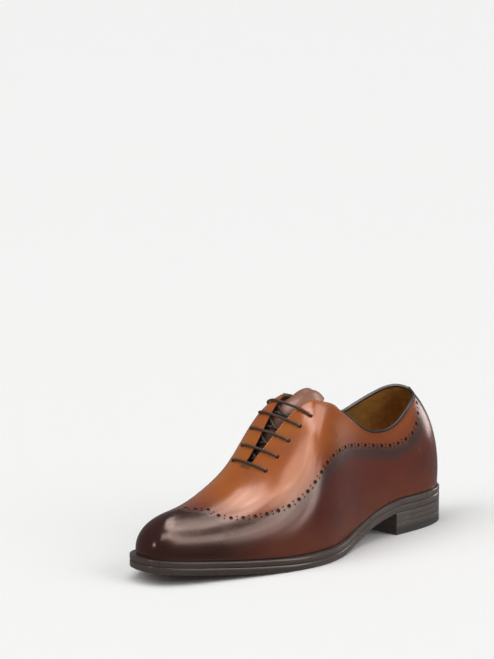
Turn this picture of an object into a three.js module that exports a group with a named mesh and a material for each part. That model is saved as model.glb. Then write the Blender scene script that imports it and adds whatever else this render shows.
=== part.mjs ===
// One left lace-up dress shoe, built over the form of its own last.
// Millimetres. Toe along +X, outer (lateral) side +Y, up +Z, floor at z 0.
// Lengths along the shoe are first measured from the back of the heel, and the
// finished group is moved so that its origin is the middle of its footprint.

import * as THREE from 'three';
import { mergeVertices } from 'three/addons/utils/BufferGeometryUtils.js';

// Driving sizes
const shoeLength = 304;        // outsole, heel back to toe
const lastBallWidth = 92;      // last at the ball, measured at its lower edge
const instepHeight = 110;      // cone of the last above its lower edge
const heelHeight = 18;         // heel block under the outsole
const toeSpring = 10;          // lift of the toe above the floor
const instepSwing = 3.8;       // how far the instep's ridge lies to the inner side
const toeSwing = 9;            // and the toe
const outwardLean = 0.16;      // fall of the instep towards the outer side, as a slope
const outsoleThickness = 5.3;
const weltThickness = 4.2;
const heelLedge = 2;           // welt and sole standing out past the upper at the heel
const foreLedge = 4.5;         // and around the forefoot
const weltInnerWidth = 9;      // welt running in under the upper
const upperWall = 2.2;         // leather, stiffener and lining together
const insoleThickness = 3;
const topPieceThickness = 5.5; // rubber top piece of the heel
const heelLiftCount = 3;
const heelBreastAlong = 70;    // heel back to heel breast
const bindingHeight = 2.2;     // bound edge around the collar
const bindingWidth = 3.0;
const throatFootGap = 3;       // space between the facings at the foot of the throat
const throatTopGap = 24;       // and at their top corners
const tongueThickness = 2;
const tongueFootWidth = 30;
const tongueTopWidth = 29;
const tongueRise = 6.5;        // tongue standing up past the facings
const laceDiameter = 2.1;
const laceBarCount = 5;
const laceFootSpan = 34.6;     // eyelet to eyelet at the lowest bar
const laceTopSpan = 45;        // and at the highest
const heelTabLength = 12;
const heelTabWidth = 5;
const heelTabThickness = 1.1;
const clearance = 0.3;         // space between pieces that lie against each other

// Places along the shoe, as shares of shoeLength
const archStartShare = 0.191;
const archEndShare = 0.493;
const springStartShare = 0.632;
const throatFootShare = 0.643;
const throatTopShare = 0.480;
const cornerStartShare = 0.385;
const bindingEndShare = 0.415;
const tongueFootShare = 0.68;
const tongueTopShare = 0.432;
const laceFootShare = 0.651;
const laceTopShare = 0.520;

// Sections of the last from heel to toe. along and ridgeAlong are shares of shoeLength,
// half widths and bulges are shares of lastBallWidth, and ridgeUp is a share of instepHeight
// above the last's lower edge. lift is the height of the fullest part of the side wall,
// reach how far the top stays broad before it turns down, and drop how much it falls there.
const sections = [
  { along: 0.010, lateral: 0.114, medial: 0.114, lateralBulge: 0.043, medialBulge: 0.047,
    lift: 0.37, ridgeAlong: 0.147, ridgeUp: 0.820, lateralReach: 0.90, medialReach: 0.90, drop: 0.12 },
  { along: 0.043, lateral: 0.234, medial: 0.223, lateralBulge: 0.033, medialBulge: 0.038,
    lift: 0.38, ridgeAlong: 0.158, ridgeUp: 0.826, lateralReach: 0.88, medialReach: 0.89, drop: 0.13 },
  { along: 0.123, lateral: 0.304, medial: 0.299, lateralBulge: 0.026, medialBulge: 0.037,
    lift: 0.39, ridgeAlong: 0.190, ridgeUp: 0.835, lateralReach: 0.92, medialReach: 0.93, drop: 0.13 },
  { along: 0.230, lateral: 0.293, medial: 0.293, lateralBulge: 0.043, medialBulge: 0.060,
    lift: 0.40, ridgeAlong: 0.262, ridgeUp: 0.860, lateralReach: 1.04, medialReach: 1.04, drop: 0.15 },
  { along: 0.336, lateral: 0.288, medial: 0.266, lateralBulge: 0.060, medialBulge: 0.098,
    lift: 0.42, ridgeAlong: 0.349, ridgeUp: 0.923, lateralReach: 0.94, medialReach: 1.00, drop: 0.11 },
  { along: 0.441, lateral: 0.386, medial: 0.348, lateralBulge: 0.049, medialBulge: 0.098,
    lift: 0.46, ridgeAlong: 0.454, ridgeUp: 1.005, lateralReach: 0.93, medialReach: 0.99, drop: -0.09 },
  { along: 0.533, lateral: 0.495, medial: 0.467, lateralBulge: 0.022, medialBulge: 0.065,
    lift: 0.48, ridgeAlong: 0.546, ridgeUp: 0.894, lateralReach: 0.99, medialReach: 1.06, drop: -0.12 },
  { along: 0.625, lateral: 0.478, medial: 0.516, lateralBulge: 0.013, medialBulge: 0.033,
    lift: 0.49, ridgeAlong: 0.632, ridgeUp: 0.614, lateralReach: 0.79, medialReach: 0.69, drop: 0.01 },
  { along: 0.717, lateral: 0.395, medial: 0.511, lateralBulge: 0.013, medialBulge: 0.022,
    lift: 0.52, ridgeAlong: 0.711, ridgeUp: 0.446, lateralReach: 0.74, medialReach: 0.74, drop: -0.02 },
  { along: 0.809, lateral: 0.293, medial: 0.467, lateralBulge: 0.022, medialBulge: 0.022,
    lift: 0.55, ridgeAlong: 0.783, ridgeUp: 0.370, lateralReach: 0.64, medialReach: 0.60, drop: 0.01 },
  { along: 0.888, lateral: 0.190, medial: 0.413, lateralBulge: 0.022, medialBulge: 0.022,
    lift: 0.55, ridgeAlong: 0.822, ridgeUp: 0.335, lateralReach: 0.64, medialReach: 0.62, drop: 0.01 },
  { along: 0.952, lateral: 0.098, medial: 0.348, lateralBulge: 0.022, medialBulge: 0.022,
    lift: 0.55, ridgeAlong: 0.849, ridgeUp: 0.321, lateralReach: 0.65, medialReach: 0.66, drop: 0.03 },
  { along: 0.985, lateral: 0.013, medial: 0.234, lateralBulge: 0.022, medialBulge: 0.022,
    lift: 0.55, ridgeAlong: 0.868, ridgeUp: 0.314, lateralReach: 0.66, medialReach: 0.67, drop: 0.05 },
];
const heelSection = { along: 0.003, side: 0, bulge: 0.054, lift: 0.38,
  ridgeAlong: 0.143, ridgeUp: 0.818, reach: 0.92, drop: 0.11 };
const toeSection = { along: 0.989, side: -0.098, bulge: 0.022, lift: 0.55,
  ridgeAlong: 0.882, ridgeUp: 0.309, reach: 0.63, drop: 0.07 };

// Top edge of the upper along the collar and up to the facings: along as a share of shoeLength,
// heights above the last's lower edge as shares of instepHeight
const toplineRows = [
  { along: 0.050, lateral: 0.695, medial: 0.700 },
  { along: 0.090, lateral: 0.690, medial: 0.704 },
  { along: 0.125, lateral: 0.667, medial: 0.690 },
  { along: 0.165, lateral: 0.615, medial: 0.655 },
  { along: 0.210, lateral: 0.557, medial: 0.608 },
  { along: 0.250, lateral: 0.543, medial: 0.590 },
  { along: 0.290, lateral: 0.568, medial: 0.603 },
  { along: 0.325, lateral: 0.620, medial: 0.645 },
  { along: 0.360, lateral: 0.712, medial: 0.724 },
  { along: 0.395, lateral: 0.822, medial: 0.826 },
  { along: 0.430, lateral: 0.910, medial: 0.912 },
  { along: 0.480, lateral: 0.975, medial: 0.975 },
];

// Colours and surfaces
const vampLeather = new THREE.MeshStandardMaterial({ color: 0x8a4424, roughness: 0.32, metalness: 0 });
const darkLeather = new THREE.MeshStandardMaterial({ color: 0x2e201b, roughness: 0.45, metalness: 0 });
const tongueLeather = new THREE.MeshStandardMaterial({ color: 0x6d3d28, roughness: 0.5, metalness: 0 });
const liningLeather = new THREE.MeshStandardMaterial({ color: 0x8a5a1e, roughness: 0.6, metalness: 0 });
const soleLeather = new THREE.MeshStandardMaterial({ color: 0x4a3b35, roughness: 0.5, metalness: 0 });
const heelLeather = new THREE.MeshStandardMaterial({ color: 0x514038, roughness: 0.5, metalness: 0 });
const heelRubber = new THREE.MeshStandardMaterial({ color: 0x332b28, roughness: 0.75, metalness: 0 });
const laceCotton = new THREE.MeshStandardMaterial({ color: 0x2b1d17, roughness: 0.6, metalness: 0 });

// Small helpers
const clamp01 = (v) => Math.min(Math.max(v, 0), 1);
const mix = (a, b, f) => a + (b - a) * f;
function smooth(from, to, v) {
  const f = clamp01((v - from) / (to - from));
  return f * f * (3 - 2 * f);
}

// Smooth curve through a table's rows, read at one key
function readTable(rows, key, column, at) {
  const last = rows.length - 1;
  if (at <= rows[0][key]) return rows[0][column];
  if (at >= rows[last][key]) return rows[last][column];
  let i = 0;
  while (at > rows[i + 1][key]) i += 1;
  const slope = (k) => {
    const a = rows[Math.max(k - 1, 0)];
    const b = rows[Math.min(k + 1, last)];
    return (b[column] - a[column]) / (b[key] - a[key]);
  };
  const span = rows[i + 1][key] - rows[i][key];
  const f = (at - rows[i][key]) / span;
  const h01 = f * f * (3 - 2 * f);
  const h10 = f * (1 - f) * (1 - f);
  const h11 = f * f * (f - 1);
  return mix(rows[i][column], rows[i + 1][column], h01) + span * (h10 * slope(i) + h11 * slope(i + 1));
}

// Heights of the bottom
const weltBottomRise = outsoleThickness + clearance;
const weltTopRise = weltBottomRise + weltThickness;
const featherRise = weltTopRise + clearance;
function soleHeight(x) {
  const arch = heelHeight * (1 - smooth(archStartShare * shoeLength, archEndShare * shoeLength, x));
  const springStart = springStartShare * shoeLength;
  const beyond = Math.max((x - springStart) / (shoeLength - springStart), 0);
  return arch + toeSpring * beyond ** 1.35;
}
const featherHeight = (x) => soleHeight(x) + featherRise;
function centreSide(x) {
  const atInstep = smooth(0.18 * shoeLength, 0.48 * shoeLength, x);
  const atToe = smooth(0.50 * shoeLength, 0.954 * shoeLength, x);
  return -instepSwing * atInstep - (toeSwing - instepSwing) * atToe;
}

// The last: a ring of upright curves, each from the lower edge up to the ridge.
// Heel, lateral rows, toe and medial rows follow each other around the ring.
function uprightCurve(row, side, bulge, reach, ridgeSlope) {
  const foot = new THREE.Vector3(row.along * shoeLength, side * lastBallWidth, 0);
  foot.z = featherHeight(foot.x);
  const ridge = new THREE.Vector3(row.ridgeAlong * shoeLength, 0, 0);
  ridge.y = centreSide(ridge.x);
  ridge.z = featherHeight(ridge.x) + row.ridgeUp * instepHeight;
  const out = new THREE.Vector3(foot.x - ridge.x, foot.y - ridge.y, 0);
  const breadth = out.length();
  out.normalize();
  const rise = ridge.z - foot.z;
  const wall = foot.clone().addScaledVector(out, bulge * lastBallWidth);
  wall.z += row.lift * rise;
  const shoulder = ridge.clone().addScaledVector(out, breadth * reach);
  const lean = outwardLean * smooth(0.30 * shoeLength, 0.46 * shoeLength, ridge.x)
    * (1 - smooth(0.60 * shoeLength, 0.80 * shoeLength, ridge.x));
  shoulder.z += ridgeSlope * (shoulder.x - ridge.x) - lean * (shoulder.y - ridge.y) - row.drop * rise;
  return [foot, wall, shoulder, ridge];
}

function ridgeSlopeAt(index) {
  const line = [heelSection, ...sections, toeSection];
  const behind = line[Math.max(index - 1, 0)];
  const ahead = line[Math.min(index + 1, line.length - 1)];
  const height = (row) => featherHeight(row.ridgeAlong * shoeLength) + row.ridgeUp * instepHeight;
  return (height(ahead) - height(behind)) / ((ahead.ridgeAlong - behind.ridgeAlong) * shoeLength);
}

function lastRing() {
  const ends = (row, index) => uprightCurve(row, row.side, row.bulge, row.reach, ridgeSlopeAt(index));
  const lateral = sections.map((row, i) =>
    uprightCurve(row, row.lateral, row.lateralBulge, row.lateralReach, ridgeSlopeAt(i + 1)));
  const medial = sections.map((row, i) =>
    uprightCurve(row, -row.medial, row.medialBulge, row.medialReach, ridgeSlopeAt(i + 1)));
  return [ends(heelSection, 0), ...lateral, ends(toeSection, sections.length + 1), ...medial.reverse()];
}
const ring = lastRing();
const ringSize = ring.length;
const toeTurn = ringSize / 2;

// One upright curve anywhere around the ring, blended from its four nearest rows
function uprightAt(turn) {
  const i = Math.floor(turn);
  const f = turn - i;
  const weights = [(1 - f) ** 3, 3 * f ** 3 - 6 * f ** 2 + 4, -3 * f ** 3 + 3 * f ** 2 + 3 * f + 1, f ** 3];
  const curve = [0, 1, 2, 3].map((k) => {
    const p = new THREE.Vector3();
    weights.forEach((w, j) => p.addScaledVector(ring[(i - 1 + j + 2 * ringSize) % ringSize][k], w / 6));
    return p;
  });
  curve[0].z = featherHeight(curve[0].x);
  return curve;
}
function alongUpright(curve, up) {
  const down = 1 - up;
  return new THREE.Vector3()
    .addScaledVector(curve[0], down ** 3)
    .addScaledVector(curve[1], 3 * up * down ** 2)
    .addScaledVector(curve[2], 3 * up ** 2 * down)
    .addScaledVector(curve[3], up ** 3);
}
const lastPoint = (turn, up) => alongUpright(uprightAt(turn), up);

// Outward direction of the last's surface; on the ridge both sides share one direction
function oneSidedNormal(turn, up) {
  const step = 0.02;
  const around = lastPoint(turn + step, up).sub(lastPoint(turn - step, up));
  const rising = lastPoint(turn, Math.min(up + step, 1)).sub(lastPoint(turn, Math.max(up - step, 0)));
  return rising.cross(around).normalize();
}
function lastNormal(turn, up) {
  const normal = oneSidedNormal(turn, up);
  if (up > 0.999) normal.add(oneSidedNormal(ringSize - turn, up)).normalize();
  return normal;
}
const offsetPoint = (turn, up, distance) =>
  lastPoint(turn, up).addScaledVector(lastNormal(turn, up), distance);

// Height on an upright curve where a test first holds, found by halving
function upWhere(turn, test) {
  const curve = uprightAt(turn);
  let low = 0;
  let high = 1;
  for (let i = 0; i < 30; i += 1) {
    const middle = (low + high) / 2;
    if (test(alongUpright(curve, middle))) high = middle;
    else low = middle;
  }
  return high;
}
const upAtHalfWidth = (turn, halfWidth) =>
  upWhere(turn, (p) => Math.abs(p.y - centreSide(p.x)) < halfWidth);

// Turn on the lateral side whose ridge point lies at a place along the shoe
function turnAtRidge(x) {
  let low = 0;
  let high = toeTurn;
  for (let i = 0; i < 40; i += 1) {
    const middle = (low + high) / 2;
    if (uprightAt(middle)[3].x > x) high = middle;
    else low = middle;
  }
  return (low + high) / 2;
}
const footTurn = turnAtRidge(throatFootShare * shoeLength);
const cornerTurn = turnAtRidge(throatTopShare * shoeLength);
const cornerStartTurn = turnAtRidge(cornerStartShare * shoeLength);

// Edges of the upper: collar height and the opening between the facings
function toplineHeight(x, isLateral) {
  const share = readTable(toplineRows, 'along', isLateral ? 'lateral' : 'medial', x / shoeLength);
  return featherHeight(x) + share * instepHeight;
}
function throatHalfGap(x) {
  const share = (throatFootShare * shoeLength - x) / ((throatFootShare - throatTopShare) * shoeLength);
  return mix(throatFootGap, throatTopGap, Math.max(share, 0)) / 2;
}
const bindingEnd = bindingEndShare * shoeLength;
const bindingShare = (x) => 1 - smooth(bindingEnd - bindingHeight, bindingEnd + bindingHeight, x);
function topOfUpper(turn) {
  const side = turn <= toeTurn ? turn : ringSize - turn;
  if (side >= footTurn - 1e-6) return 1;
  const isLateral = turn <= toeTurn;
  const collar = upWhere(turn, (p) =>
    p.z > toplineHeight(p.x, isLateral) - (bindingHeight + clearance) * bindingShare(p.x));
  const facing = upWhere(turn, (p) =>
    p.x > cornerStartShare * shoeLength && Math.abs(p.y - centreSide(p.x)) < throatHalfGap(p.x));
  const rounding = 0.03;
  const nearest = Math.min(collar, facing);
  const other = Math.max(collar, facing);
  return nearest - rounding * Math.exp(-(other - nearest) / rounding) * 0.7;
}

// Stations around the ring: close together at the facing corners and mirrored on the medial side
function sideStations() {
  const legs = [
    { from: 0, to: cornerStartTurn, steps: 22 },
    { from: cornerStartTurn, to: cornerTurn, steps: 7 },
    { from: cornerTurn, to: footTurn, steps: 8 },
    { from: footTurn, to: toeTurn, steps: 19 },
  ];
  const turns = [0];
  for (const leg of legs) {
    for (let i = 1; i <= leg.steps; i += 1) turns.push(mix(leg.from, leg.to, i / leg.steps));
  }
  return turns;
}
const half = sideStations();
const stations = [...half, ...half.slice(1, -1).reverse().map((turn) => ringSize - turn)];

// Solids from grids of points. Each piece of skin is a strip of quads between two rows.
class Skin {
  constructor() {
    this.corners = [];
  }

  triangle(a, b, c) {
    this.corners.push(...a.toArray(), ...b.toArray(), ...c.toArray());
  }

  quad(a, b, c, d) {
    this.triangle(a, b, c);
    this.triangle(a, c, d);
  }

  // Band between two closed rings of points, seen with the second ring above the first
  band(lower, upper, skip = () => false) {
    const count = lower.length;
    for (let i = 0; i < count; i += 1) {
      const j = (i + 1) % count;
      if (!skip(i, j)) this.quad(lower[j], lower[i], upper[i], upper[j]);
    }
  }

  // Lid across a mirrored ring, rung by rung from heel to toe
  lid(points, facesUp) {
    const count = points.length;
    for (let i = 0; i < count / 2; i += 1) {
      const a = points[i];
      const b = points[(count - i) % count];
      const c = points[(count - i - 1) % count];
      const d = points[i + 1];
      if (facesUp) this.quad(b, c, d, a);
      else this.quad(a, d, c, b);
    }
  }

  geometry() {
    const geometry = new THREE.BufferGeometry();
    geometry.setAttribute('position', new THREE.Float32BufferAttribute(this.corners, 3));
    const merged = mergeVertices(geometry, 1e-4);
    const index = merged.getIndex().array;
    const kept = [];
    for (let i = 0; i < index.length; i += 3) {
      const [a, b, c] = [index[i], index[i + 1], index[i + 2]];
      if (a !== b && b !== c && c !== a) kept.push(a, b, c);
    }
    merged.setIndex(kept);
    merged.computeVertexNormals();
    return merged;
  }
}

const assembly = new THREE.Group();
function addPiece(name, skin, material) {
  const mesh = new THREE.Mesh(skin.geometry(), material);
  mesh.name = name;
  assembly.add(mesh);
  return mesh;
}

// Outline of the bottom pieces: the last's lower edge moved outwards in plan
function footRing(outwards) {
  return stations.map((turn) => {
    const step = 0.02;
    const p = uprightAt(turn)[0];
    const along = uprightAt(turn + step)[0].sub(uprightAt(turn - step)[0]);
    const outward = new THREE.Vector3(-along.y, along.x, 0).normalize();
    return p.addScaledVector(outward, outwards(p.x));
  });
}
const atRise = (points, rise) => points.map((p) => new THREE.Vector3(p.x, p.y, soleHeight(p.x) + rise));
const ledge = (x) => mix(heelLedge, foreLedge, smooth(0.3 * shoeLength, 0.6 * shoeLength, x));
const soleRing = footRing(ledge);

// Upper: one hollow wall, open along the collar and throat and underneath
function buildUpper() {
  const levels = 12;
  const outer = [];
  const inner = [];
  for (let k = 0; k <= levels; k += 1) {
    outer.push([]);
    inner.push([]);
  }
  for (const turn of stations) {
    const top = topOfUpper(turn);
    for (let k = 0; k <= levels; k += 1) {
      const up = top * (k / levels) ** 0.88;
      const skinPoint = lastPoint(turn, up);
      const liningPoint = offsetPoint(turn, up, -upperWall);
      if (k === 0) liningPoint.z = featherHeight(liningPoint.x);
      outer[k].push(skinPoint);
      inner[k].push(liningPoint);
    }
  }
  const skin = new Skin();
  for (let k = 0; k < levels; k += 1) {
    skin.band(outer[k], outer[k + 1]);
    skin.band(inner[k + 1], inner[k]);
  }
  skin.band(inner[0], outer[0]);
  const closed = (i) => {
    const turn = stations[i];
    return Math.min(turn, ringSize - turn) >= footTurn - 1e-6;
  };
  skin.band(outer[levels], inner[levels], (i, j) => closed(i) && closed(j));
  addPiece('upper', skin, vampLeather);
}
buildUpper();

// Outsole: full length, flat under the ball of the foot, curved at the waist, lifted at the toe
function buildOutsole() {
  const bottom = atRise(soleRing, 0);
  const top = atRise(soleRing, outsoleThickness);
  const skin = new Skin();
  skin.lid(bottom, false);
  skin.band(bottom, top);
  skin.lid(top, true);
  addPiece('outsole', skin, soleLeather);
}
buildOutsole();

// Welt: a ring all around between the outsole and the upper
const weltInnerRing = footRing(() => -weltInnerWidth);
function buildWelt() {
  const rims = [
    atRise(soleRing, weltBottomRise),
    atRise(soleRing, weltTopRise),
    atRise(weltInnerRing, weltTopRise),
    atRise(weltInnerRing, weltBottomRise),
  ];
  const skin = new Skin();
  rims.forEach((rim, i) => skin.band(rim, rims[(i + 1) % rims.length]));
  addPiece('welt', skin, soleLeather);
}
buildWelt();

// Insole: its lower step fills the ring of the welt, its upper step carries the foot
function buildInsole() {
  const filling = footRing(() => -weltInnerWidth - clearance);
  const footbed = footRing(() => -upperWall - clearance);
  const rims = [
    atRise(filling, weltBottomRise),
    atRise(filling, featherRise),
    atRise(footbed, featherRise),
    atRise(footbed, featherRise + insoleThickness),
  ];
  const skin = new Skin();
  skin.lid(rims[0], false);
  for (let i = 0; i < 3; i += 1) skin.band(rims[i], rims[i + 1]);
  skin.lid(rims[3], true);
  addPiece('insole', skin, liningLeather);
}
buildInsole();

// Heel: a stack of lifts over a rubber top piece, cut off flat at the breast
function heelOutline() {
  const outline = [];
  const count = soleRing.length;
  for (let i = 0; i < count; i += 1) {
    const a = soleRing[(i + count / 2) % count];
    const b = soleRing[(i + count / 2 + 1) % count];
    if (a.x <= heelBreastAlong) outline.push(new THREE.Vector2(a.x, a.y));
    if ((a.x - heelBreastAlong) * (b.x - heelBreastAlong) < 0) {
      const f = (heelBreastAlong - a.x) / (b.x - a.x);
      outline.push(new THREE.Vector2(heelBreastAlong, mix(a.y, b.y, f)));
    }
  }
  return outline;
}
function heelSlab(name, bottomHeight, topHeight, material) {
  const outline = heelOutline();
  const count = outline.length;
  const bottom = outline.map((p) => new THREE.Vector3(p.x, p.y, bottomHeight(p.x)));
  const top = outline.map((p) => new THREE.Vector3(p.x, p.y, topHeight(p.x)));
  const skin = new Skin();
  for (let i = 0; i < count; i += 1) {
    const j = (i + 1) % count;
    skin.quad(bottom[j], bottom[i], top[i], top[j]);
  }
  for (let i = 0; i < Math.floor((count - 1) / 2); i += 1) {
    const a = i;
    const b = i + 1;
    const c = count - 2 - i;
    const d = count - 1 - i;
    if (b >= c) {
      if (b === c) {
        skin.triangle(bottom[a], bottom[b], bottom[d]);
        skin.triangle(top[d], top[b], top[a]);
      }
      break;
    }
    skin.quad(bottom[a], bottom[b], bottom[c], bottom[d]);
    skin.quad(top[d], top[c], top[b], top[a]);
  }
  addPiece(name, skin, material);
}
function buildHeel() {
  heelSlab('heel_top_piece', () => 0, () => topPieceThickness, heelRubber);
  const stackBottom = topPieceThickness + clearance;
  const stackTop = heelHeight - clearance;
  const liftThickness = (stackTop - stackBottom - clearance * (heelLiftCount - 1)) / heelLiftCount;
  for (let i = 0; i < heelLiftCount; i += 1) {
    const low = stackBottom + i * (liftThickness + clearance);
    const isHighest = i === heelLiftCount - 1;
    const high = (x) => (isHighest ? soleHeight(x) - clearance : low + liftThickness);
    heelSlab(`heel_lift_${i + 1}`, () => low, high, heelLeather);
  }
}
buildHeel();

// Closed patch between an outer and an inner grid of points, with its four edges
function patch(name, outer, inner, material) {
  const skin = new Skin();
  const rows = outer.length;
  const columns = outer[0].length;
  for (let i = 0; i + 1 < rows; i += 1) {
    for (let k = 0; k + 1 < columns; k += 1) {
      skin.quad(outer[i][k], outer[i][k + 1], outer[i + 1][k + 1], outer[i + 1][k]);
      skin.quad(inner[i + 1][k], inner[i + 1][k + 1], inner[i][k + 1], inner[i][k]);
    }
    skin.quad(outer[i][0], outer[i + 1][0], inner[i + 1][0], inner[i][0]);
    const k = columns - 1;
    skin.quad(outer[i + 1][k], outer[i][k], inner[i][k], inner[i + 1][k]);
  }
  for (let k = 0; k + 1 < columns; k += 1) {
    skin.quad(outer[0][k + 1], outer[0][k], inner[0][k], inner[0][k + 1]);
    const i = rows - 1;
    skin.quad(outer[i][k], outer[i][k + 1], inner[i][k + 1], inner[i][k]);
  }
  addPiece(name, skin, material);
}

// Place across the ridge: share runs from -1 on the medial side to 1 on the lateral side
function acrossRidge(turn, halfWidth, share) {
  const side = share >= 0 ? turn : ringSize - turn;
  const up = Math.abs(share) < 1e-6 ? 1 : upAtHalfWidth(side, halfWidth * Math.abs(share));
  return { turn: side, up };
}

// Tongue: lies just inside the facings, and its rounded top stands up past them
function buildTongue() {
  const rows = 16;
  const columns = 12;
  const footX = tongueFootShare * shoeLength;
  const topX = tongueTopShare * shoeLength;
  const depth = upperWall + clearance * 2;
  const roundedFrom = 0.92;
  const topFlatShare = 0.7;
  const outer = [];
  const inner = [];
  for (let i = 0; i <= rows; i += 1) {
    const f = 1 - (1 - i / rows) ** 1.6;
    const turn = turnAtRidge(mix(footX, topX, f));
    const cornerRounding = Math.sqrt(1 - clamp01((f - roundedFrom) / (1 - roundedFrom)) ** 2);
    const halfWidth = mix(tongueFootWidth, tongueTopWidth, f) / 2 * mix(topFlatShare, 1, cornerRounding);
    outer.push([]);
    inner.push([]);
    for (let k = 0; k <= columns; k += 1) {
      const share = mix(-1, 1, k / columns);
      const place = acrossRidge(turn, halfWidth, share);
      const raised = new THREE.Vector3(0, 0, tongueRise * smooth(0.88, 0.99, f) * (1 - 0.35 * share ** 4));
      outer[i].push(offsetPoint(place.turn, place.up, -depth).add(raised));
      inner[i].push(offsetPoint(place.turn, place.up, -depth - tongueThickness).add(raised));
    }
  }
  patch('tongue', outer, inner, tongueLeather);
}
buildTongue();

// Closed tube with a many-sided section along a row of places, each with its own two directions
function buildTube(name, places, sides, material) {
  const rings = places.map(({ centre, across, rising, halfAcross, halfRising }) => {
    const loop = [];
    for (let i = 0; i < sides; i += 1) {
      const angle = (2 * Math.PI * (i + 0.5)) / sides;
      loop.push(centre.clone()
        .addScaledVector(across, halfAcross * Math.cos(angle))
        .addScaledVector(rising, halfRising * Math.sin(angle)));
    }
    return loop;
  });
  const skin = new Skin();
  for (let i = 0; i + 1 < rings.length; i += 1) skin.band(rings[i], rings[i + 1]);
  const first = rings[0];
  const end = rings[rings.length - 1];
  for (let i = 1; i + 1 < sides; i += 1) {
    skin.triangle(first[0], first[i], first[i + 1]);
    skin.triangle(end[0], end[i + 1], end[i]);
  }
  addPiece(name, skin, material);
}

// Binding: a dark edge around the collar from one facing corner to the other
function buildBinding() {
  const places = [];
  const turns = [];
  for (const turn of stations) {
    const side = Math.min(turn, ringSize - turn);
    if (side < footTurn && lastPoint(turn, topOfUpper(turn)).x < bindingEnd - bindingHeight) turns.push(turn);
  }
  const medialFirst = turns.filter((turn) => turn > toeTurn).concat(turns.filter((turn) => turn <= toeTurn));
  for (const turn of medialFirst) {
    const top = topOfUpper(turn);
    const normal = lastNormal(turn, top);
    const step = 0.05;
    const around = lastPoint(turn + step, topOfUpper(turn + step))
      .sub(lastPoint(turn - step, topOfUpper(turn - step))).normalize();
    const rising = around.clone().cross(normal).normalize();
    if (rising.z < 0) rising.negate();
    const rim = lastPoint(turn, top).addScaledVector(normal, -upperWall / 2);
    places.push({
      centre: rim.addScaledVector(rising, clearance + bindingHeight / 2),
      across: normal.clone().negate(),
      rising,
      halfAcross: bindingWidth / 2,
      halfRising: bindingHeight / 2,
    });
  }
  buildTube('collar_binding', places, 8, darkLeather);
}
buildBinding();

// Heel tab: a short strap on the back of the heel, just under the collar
function buildHeelTab() {
  const rows = 5;
  const columns = 4;
  const top = topOfUpper(0);
  const topPlace = lastPoint(0, top);
  const curve = uprightAt(0);
  const lowUp = upWhere(0, (p) => p.z > topPlace.z - heelTabLength);
  const sideTurn = heelTabWidth / 2 / curve[0].distanceTo(uprightAt(1)[0]);
  const outer = [];
  const inner = [];
  for (let i = 0; i <= rows; i += 1) {
    const up = mix(lowUp, top, 0.03 + 0.94 * (i / rows));
    outer.push([]);
    inner.push([]);
    for (let k = 0; k <= columns; k += 1) {
      const turn = mix(-sideTurn, sideTurn, k / columns) + ringSize;
      inner[i].push(offsetPoint(turn, up, clearance));
      outer[i].push(offsetPoint(turn, up, clearance + heelTabThickness));
    }
  }
  patch('heel_tab', outer.map((row) => row.reverse()), inner.map((row) => row.reverse()), darkLeather);
}
buildHeelTab();

// Laces: straight bars over the facings, from eyelet to eyelet
function buildLaces() {
  const steps = 14;
  const radius = laceDiameter / 2;
  for (let n = 0; n < laceBarCount; n += 1) {
    const f = n / (laceBarCount - 1);
    const turn = turnAtRidge(mix(laceFootShare, laceTopShare, f) * shoeLength);
    const halfSpan = mix(laceFootSpan, laceTopSpan, f) / 2;
    const places = [];
    for (let i = 0; i <= steps; i += 1) {
      const place = acrossRidge(turn, halfSpan, mix(-1, 1, i / steps));
      const normal = lastNormal(place.turn, place.up);
      const next = acrossRidge(turn, halfSpan, mix(-1, 1, Math.min(i + 1, steps) / steps));
      const before = acrossRidge(turn, halfSpan, mix(-1, 1, Math.max(i - 1, 0) / steps));
      const along = lastPoint(next.turn, next.up).sub(lastPoint(before.turn, before.up)).normalize();
      places.push({
        centre: offsetPoint(place.turn, place.up, clearance + radius),
        across: along.clone().cross(normal).normalize(),
        rising: normal,
        halfAcross: radius,
        halfRising: radius,
      });
    }
    buildTube(`lace_bar_${n + 1}`, places, 8, laceCotton);
  }
}
buildLaces();

// Middle of the footprint at the origin
const box = new THREE.Box3().setFromObject(assembly);
assembly.position.set(-(box.min.x + box.max.x) / 2, -(box.min.y + box.max.y) / 2, -box.min.z);
assembly.updateMatrixWorld(true);

export default assembly;
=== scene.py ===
"""Looks of a left lace-up dress shoe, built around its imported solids.

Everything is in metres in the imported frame: toe along +X, outer side along +Y, up +Z.
The form of the last is worked out in millimetres from the back of the heel, as the part's
source measures it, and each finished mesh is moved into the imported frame.
"""

import logging
import math
from dataclasses import dataclass, field
from enum import Enum
from typing import Callable, Iterable, NamedTuple, Sequence

import bmesh
import bpy
import numpy as np
from mathutils import Matrix, Vector

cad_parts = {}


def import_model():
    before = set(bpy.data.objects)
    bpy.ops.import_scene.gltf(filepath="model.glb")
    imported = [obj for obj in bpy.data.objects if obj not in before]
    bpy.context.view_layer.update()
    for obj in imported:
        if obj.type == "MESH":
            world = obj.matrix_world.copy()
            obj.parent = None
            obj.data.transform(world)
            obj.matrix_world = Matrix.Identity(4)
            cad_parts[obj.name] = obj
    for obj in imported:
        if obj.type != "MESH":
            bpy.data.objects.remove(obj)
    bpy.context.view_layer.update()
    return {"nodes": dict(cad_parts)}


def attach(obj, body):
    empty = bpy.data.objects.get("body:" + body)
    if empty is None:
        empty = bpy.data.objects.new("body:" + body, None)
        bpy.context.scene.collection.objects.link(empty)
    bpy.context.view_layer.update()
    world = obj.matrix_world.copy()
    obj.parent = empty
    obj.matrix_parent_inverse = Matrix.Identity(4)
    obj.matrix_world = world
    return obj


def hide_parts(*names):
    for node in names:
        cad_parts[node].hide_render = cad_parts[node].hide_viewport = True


LOG = logging.getLogger("dress_shoe")
MILLIMETRE = 0.001
# the UV maps count in tenths of a metre, which are this many millimetres
MAP_UNIT = 100
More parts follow.
